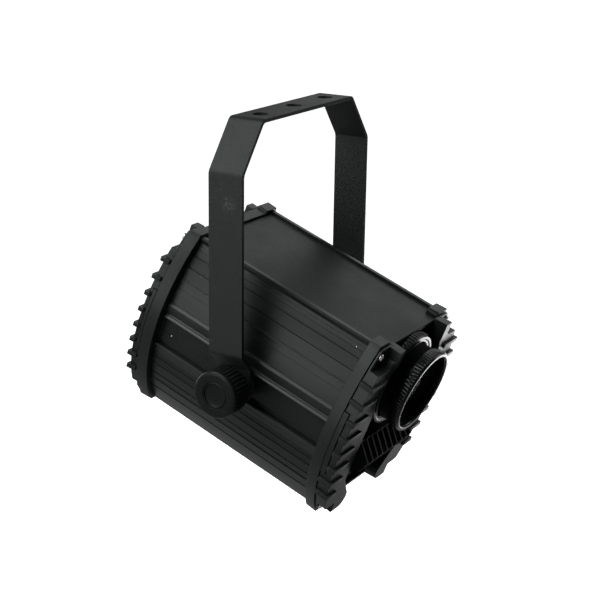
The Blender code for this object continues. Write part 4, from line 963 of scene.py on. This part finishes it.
def make_ridges():
    """Strips that give the shells' ridges their sloping faces."""
    low, high = RIDGE_ENDS
    for side, label in ((-1, "left"), (1, "right")):
        outlines = [[(side * (half_width(SKIN, z) + out), z) for z, out in row] for row in RIDGES]
        node = f"side_shell_{label}"
        mesh = extruded(outlines, low, high, HOUSING)
        add_on(f"{node}_ridges", refined(node, 0.2, 1, 20.0, mesh), node, SLOT_OF[node], 20)


# Lip of the rear collar, that closes the seam between it and the shells

LIP = {"low": 83.2, "high": 86.2, "bottom": -79.5, "top": 78.0, "depth": 0.7, "thickness": 1.4}


def make_lip():
    steps = 21
    rise = (LIP["top"] - LIP["bottom"]) / steps
    heights = [LIP["bottom"] + i * rise for i in range(steps + 1)]
    outlines = []
    for side in (-1, 1):
        outer = [(side * (half_width(SKIN, z) - LIP["depth"]), z) for z in heights]
        inner = [(x - side * LIP["thickness"], z) for x, z in reversed(outer)]
        outlines.append(outer + inner)
    mesh = extruded(outlines, LIP["low"], LIP["high"], HOUSING)
    add_on("rear_collar_lip", mesh, "rear_collar", SLOT_OF["rear_collar"], 20)


# Small fastener heads on the shells, by their place along the body and their height. Between the
# channel's two heights the shell's wall is set back

HEADS = ((-71.0, 70.0), (73.0, -3.0), (-7.0, 16.0))
CHANNEL = (-11.0, 9.0)
CHANNEL_DEPTH = 1.2


def make_heads():
    for side, label in ((-1, "left"), (1, "right")):
        bm = bmesh.new()
        for y, z in HEADS:
            recess = CHANNEL_DEPTH if CHANNEL[0] < z < CHANNEL[1] else 0.0
            at = Vector((side * (half_width(SKIN, z) - recess), y, z)) * MM
            place = HOUSING @ Matrix.Translation(at) @ Matrix.Rotation(side * math.pi / 2, 4, "Y")
            rows = [(0.0, 0.5), (0.4, 0.45), (0.7, 0.15), (0.7, -0.5), (0.0, -0.5)]
            head = turned("head", rows, place, 20)
            bm.from_mesh(head)
            bpy.data.meshes.remove(head)
        node = f"side_shell_{label}"
        add_on(f"{node}_heads", mesh_from(bm, "heads"), node, "bright_steel", 60)


# Ribs of the guards. Lengths run from the shells' end of a collar outwards, in the collar's own depth

RIB = {
    "count": 8, "top": 54.6, "pitch": 14.8, "width": 3.6, "proud": 2.4, "side": 1.6, "sunk": 3.0,
    "finger": 23.0, "stop": 55.7, "back": 10.6, "corner": 1.4, "edge": 0.95,
}
CHEEK = (30.0, -27.0)
CHEEK_MARGIN = 2.0
FLARE = 0.13
GUARDS = {
    "front": {"sign": -1, "start": -79.6, "depth": 21.0, "cheek": 15.8},
    "rear": {"sign": 1, "start": 84.5, "depth": 16.5, "cheek": 13.8},
}


def rib_outline(height, guard):
    """Outline of one rib seen from above, as rows of half width and depth."""
    outer = half_width(COLLAR, height)
    tip = outer - RIB["finger"]
    if height < 0:
        tip = max(tip, RIB["stop"])
    on_cheek = CHEEK[1] - CHEEK_MARGIN < height < CHEEK[0] + CHEEK_MARGIN
    back = guard["cheek"] if on_cheek else RIB["back"]
    face = guard["depth"] + RIB["proud"]
    under = guard["depth"] - 0.5
    corners = [
        (outer + RIB["side"], back),
        (outer + RIB["side"], face),
        (tip, face),
        (tip, under),
        (outer - RIB["sunk"], under),
        (outer - RIB["sunk"], back),
    ]
    return softened(corners, RIB["corner"])


def make_ribs():
    """Bars with round backs and round tips along each guard's side and in across its face."""
    half = RIB["width"] / 2
    for end, guard in GUARDS.items():
        for side, label in ((-1, "left"), (1, "right")):
            node = f"{end}_guard_{label}"
            bm = bmesh.new()
            for i in range(RIB["count"]):
                height = RIB["top"] - i * RIB["pitch"]
                outline = [
                    (side * (x + FLARE * y), guard["start"] + guard["sign"] * y)
                    for x, y in rib_outline(height, guard)
                ]
                bar = extruded([outline], height - half, height + half, HOUSING, "Z")
                bar_form = refined(node, RIB["edge"], 3, 40.0, bar)
                bm.from_mesh(bar_form)
                bpy.data.meshes.remove(bar)
                bpy.data.meshes.remove(bar_form)
            add_on(f"{node}_ribs", mesh_from(bm, "ribs"), node, "moulded_black", 50)


# Display: three plain digits of seven segments on the window's face

STROKE = 0.8
SEGMENT = {
    "a": (0, 4), "g": (0, 0), "d": (0, -4), "f": (-2.2, 2), "b": (2.2, 2), "e": (-2.2, -2), "c": (2.2, -2),
}
DIGITS = (("abcdef", 9.0), ("abcdef", 0.0), ("bc", -9.0))


def make_display():
    low, high = housing_box("display_window")
    face = high[1]
    middle = (low[2] + high[2]) / 2
    outlines = []
    for lit, offset in DIGITS:
        for key in lit:
            across, up = SEGMENT[key]
            width, height = (3.6, STROKE) if across == 0 else (STROKE, 3.4)
            x, z = offset - across, middle + up
            outlines.append(rectangle(x - width / 2, x + width / 2, z - height / 2, z + height / 2))
    mesh = extruded(outlines, face, face + 0.06, HOUSING)
    add_on("display_digits", mesh, "display_window", "display_digits")


def paint_rest():
    """Finishes of the CAD nodes that stay."""
    for name, obj in frame["nodes"].items():
        obj.data.materials.clear()
        obj.data.materials.append(FINISHES[SLOT_OF[name]])


# Floor and world: white to the camera and through glass, dim to the rays that light the object

FLOOR_DROP = 0.35
FLOOR_HALF = 14.0
FLOOR_GLOW = 0.92
FLOOR_GLOW_IN_GLOSS = 0.13
WORLD_DIFFUSE = 0.1
WORLD_GLOSS = 0.12


def seen_directly(tree, path):
    """1 for rays from the camera or through glass."""
    return tree.math("MAXIMUM", path["Is Camera Ray"], path["Is Transmission Ray"])


def make_floor():
    tree, place = start("floor_white")
    path = tree.add("LightPath").outputs
    in_gloss = tree.math("MULTIPLY", path["Is Glossy Ray"], FLOOR_GLOW_IN_GLOSS)
    seen = tree.math("MAXIMUM", seen_directly(tree, path), in_gloss)
    fine = tree.noise(place, 3.0)
    colour = tree.mix(tree.span(fine, 0.3, 0.7, 0.0, 1.0), (0.82, 0.82, 0.82), (0.8, 0.8, 0.8))
    colour = tree.mix(path["Is Camera Ray"], (0.24, 0.24, 0.24), colour)
    matte = tree.add("BsdfDiffuse", Color=colour)
    strength = tree.math("MULTIPLY", seen, FLOOR_GLOW)
    glow = tree.add("Emission", Color=(1, 1, 1, 1), Strength=strength)
    both = tree.add("AddShader")
    tree.tree.links.new(matte.outputs[0], both.inputs[0])
    tree.tree.links.new(glow.outputs[0], both.inputs[1])
    tree.close(both)
    mesh = bpy.data.meshes.new("floor")
    low = CAD_BOX[0][2] - FLOOR_DROP
    corners = rectangle(-FLOOR_HALF, FLOOR_HALF, -FLOOR_HALF, FLOOR_HALF)
    mesh.from_pydata([(x, y, low) for x, y in corners], [], [(0, 1, 2, 3)])
    mesh.materials.append(FINISHES["floor_white"])
    linked("floor", mesh)


def make_world():
    world = bpy.data.worlds.new("studio")
    bpy.context.scene.world = world
    tree = Tree(world)
    path = tree.add("LightPath").outputs
    strength = tree.span(path["Is Glossy Ray"], 0.0, 1.0, WORLD_DIFFUSE, WORLD_GLOSS)
    strength = tree.math("MAXIMUM", seen_directly(tree, path), strength)
    back = tree.add("Background", Color=(1, 1, 1, 1), Strength=strength)
    out = tree.add("OutputWorld")
    tree.tree.links.new(back.outputs[0], out.inputs["Surface"])


# Lights: a soft sun from the left and the rear, and boxes that shine at the tilt axis. A box has its
# name, the direction that it lies in, its distance in metres, its width and height, and its watts

SUN = {"strength": 0.45, "spread": 36, "towards": (0.5, -0.45, -0.74)}
SOFT_BOXES = (
    ("left_low", (-0.9, 0.3, 0.14), 0.65, (0.45, 0.3), 1.8),
    ("left_high", (-0.58, 0.3, 0.76), 1.3, (1.3, 0.8), 23.0),
    ("top_right", (0.84, 0.1, 0.54), 1.5, (1.1, 0.8), 4.2),
    ("front_fill", (0.82, -0.26, -0.48), 0.9, (0.6, 0.4), 3.8),
    ("right_front", (0.8, -0.5, 0.34), 1.3, (0.5, 0.4), 2.5),
    ("rear_fill", (0.25, 0.95, 0.12), 1.2, (1.0, 0.7), 8.0),
    ("right_fill", (0.93, 0.34, -0.12), 1.2, (0.8, 0.5), 6.0),
)


def aimed(direction):
    """Turns a lamp so that it shines along a direction."""
    return Vector(direction).to_track_quat("-Z", "Y").to_euler()


def make_lights():
    sun = bpy.data.lights.new("soft_key", "SUN")
    sun.energy = SUN["strength"]
    sun.angle = math.radians(SUN["spread"])
    linked("soft_key", sun).rotation_euler = aimed(SUN["towards"])
    for name, direction, distance, size, power in SOFT_BOXES:
        area = bpy.data.lights.new(name, "AREA")
        area.energy = power
        area.shape = "RECTANGLE"
        area.size, area.size_y = size
        lamp = linked(name, area)
        direction = Vector(direction).normalized()
        lamp.location = PIVOT + direction * distance
        lamp.rotation_euler = aimed(-direction)
        lamp.visible_camera = False


# Camera, fitted to the photo. Target from the tilt axis in metres; focal length and centre in pixels

SENSOR = 36.0
PICTURE = 600
CAMERA = {
    "azimuth": -59.55, "elevation": 17.06, "roll": 0.88, "distance": 1.07277,
    "target": (-0.07995, -0.05537, 0.07689), "focal": 1438.41, "centre": (300.07, 300.27),
}


def make_camera():
    data = bpy.data.cameras.new("camera")
    data.sensor_width = SENSOR
    data.lens = CAMERA["focal"] * SENSOR / PICTURE
    data.clip_start = 0.01
    data.shift_x = (PICTURE / 2 - CAMERA["centre"][0]) / PICTURE
    data.shift_y = (CAMERA["centre"][1] - PICTURE / 2) / PICTURE
    azimuth, elevation, roll = (math.radians(CAMERA[key]) for key in ("azimuth", "elevation", "roll"))
    back = Vector((
        math.sin(azimuth) * math.cos(elevation),
        -math.cos(azimuth) * math.cos(elevation),
        math.sin(elevation),
    ))
    level = Vector((math.cos(azimuth), math.sin(azimuth), 0))
    above = back.cross(level)
    right = level * math.cos(roll) + above * math.sin(roll)
    up = above * math.cos(roll) - level * math.sin(roll)
    eye = Vector(CAMERA["target"]) + back * CAMERA["distance"] + PIVOT
    camera = linked("camera", data)
    camera.matrix_world = Matrix((
        (right.x, up.x, back.x, eye.x),
        (right.y, up.y, back.y, eye.y),
        (right.z, up.z, back.z, eye.z),
        (0, 0, 0, 1),
    ))
    bpy.context.scene.camera = camera


make_finishes()
paint_rest()
make_yoke()
make_knobs()
make_flange()
make_tube()
make_focus_ring()
make_lens_group()
make_condenser()
make_reflector()
make_screws()
make_rounded()
make_top()
make_ridges()
make_lip()
make_heads()
make_ribs()
make_display()
make_floor()
make_world()
make_lights()
make_camera()
bpy.context.scene.view_settings.view_transform = "Standard"
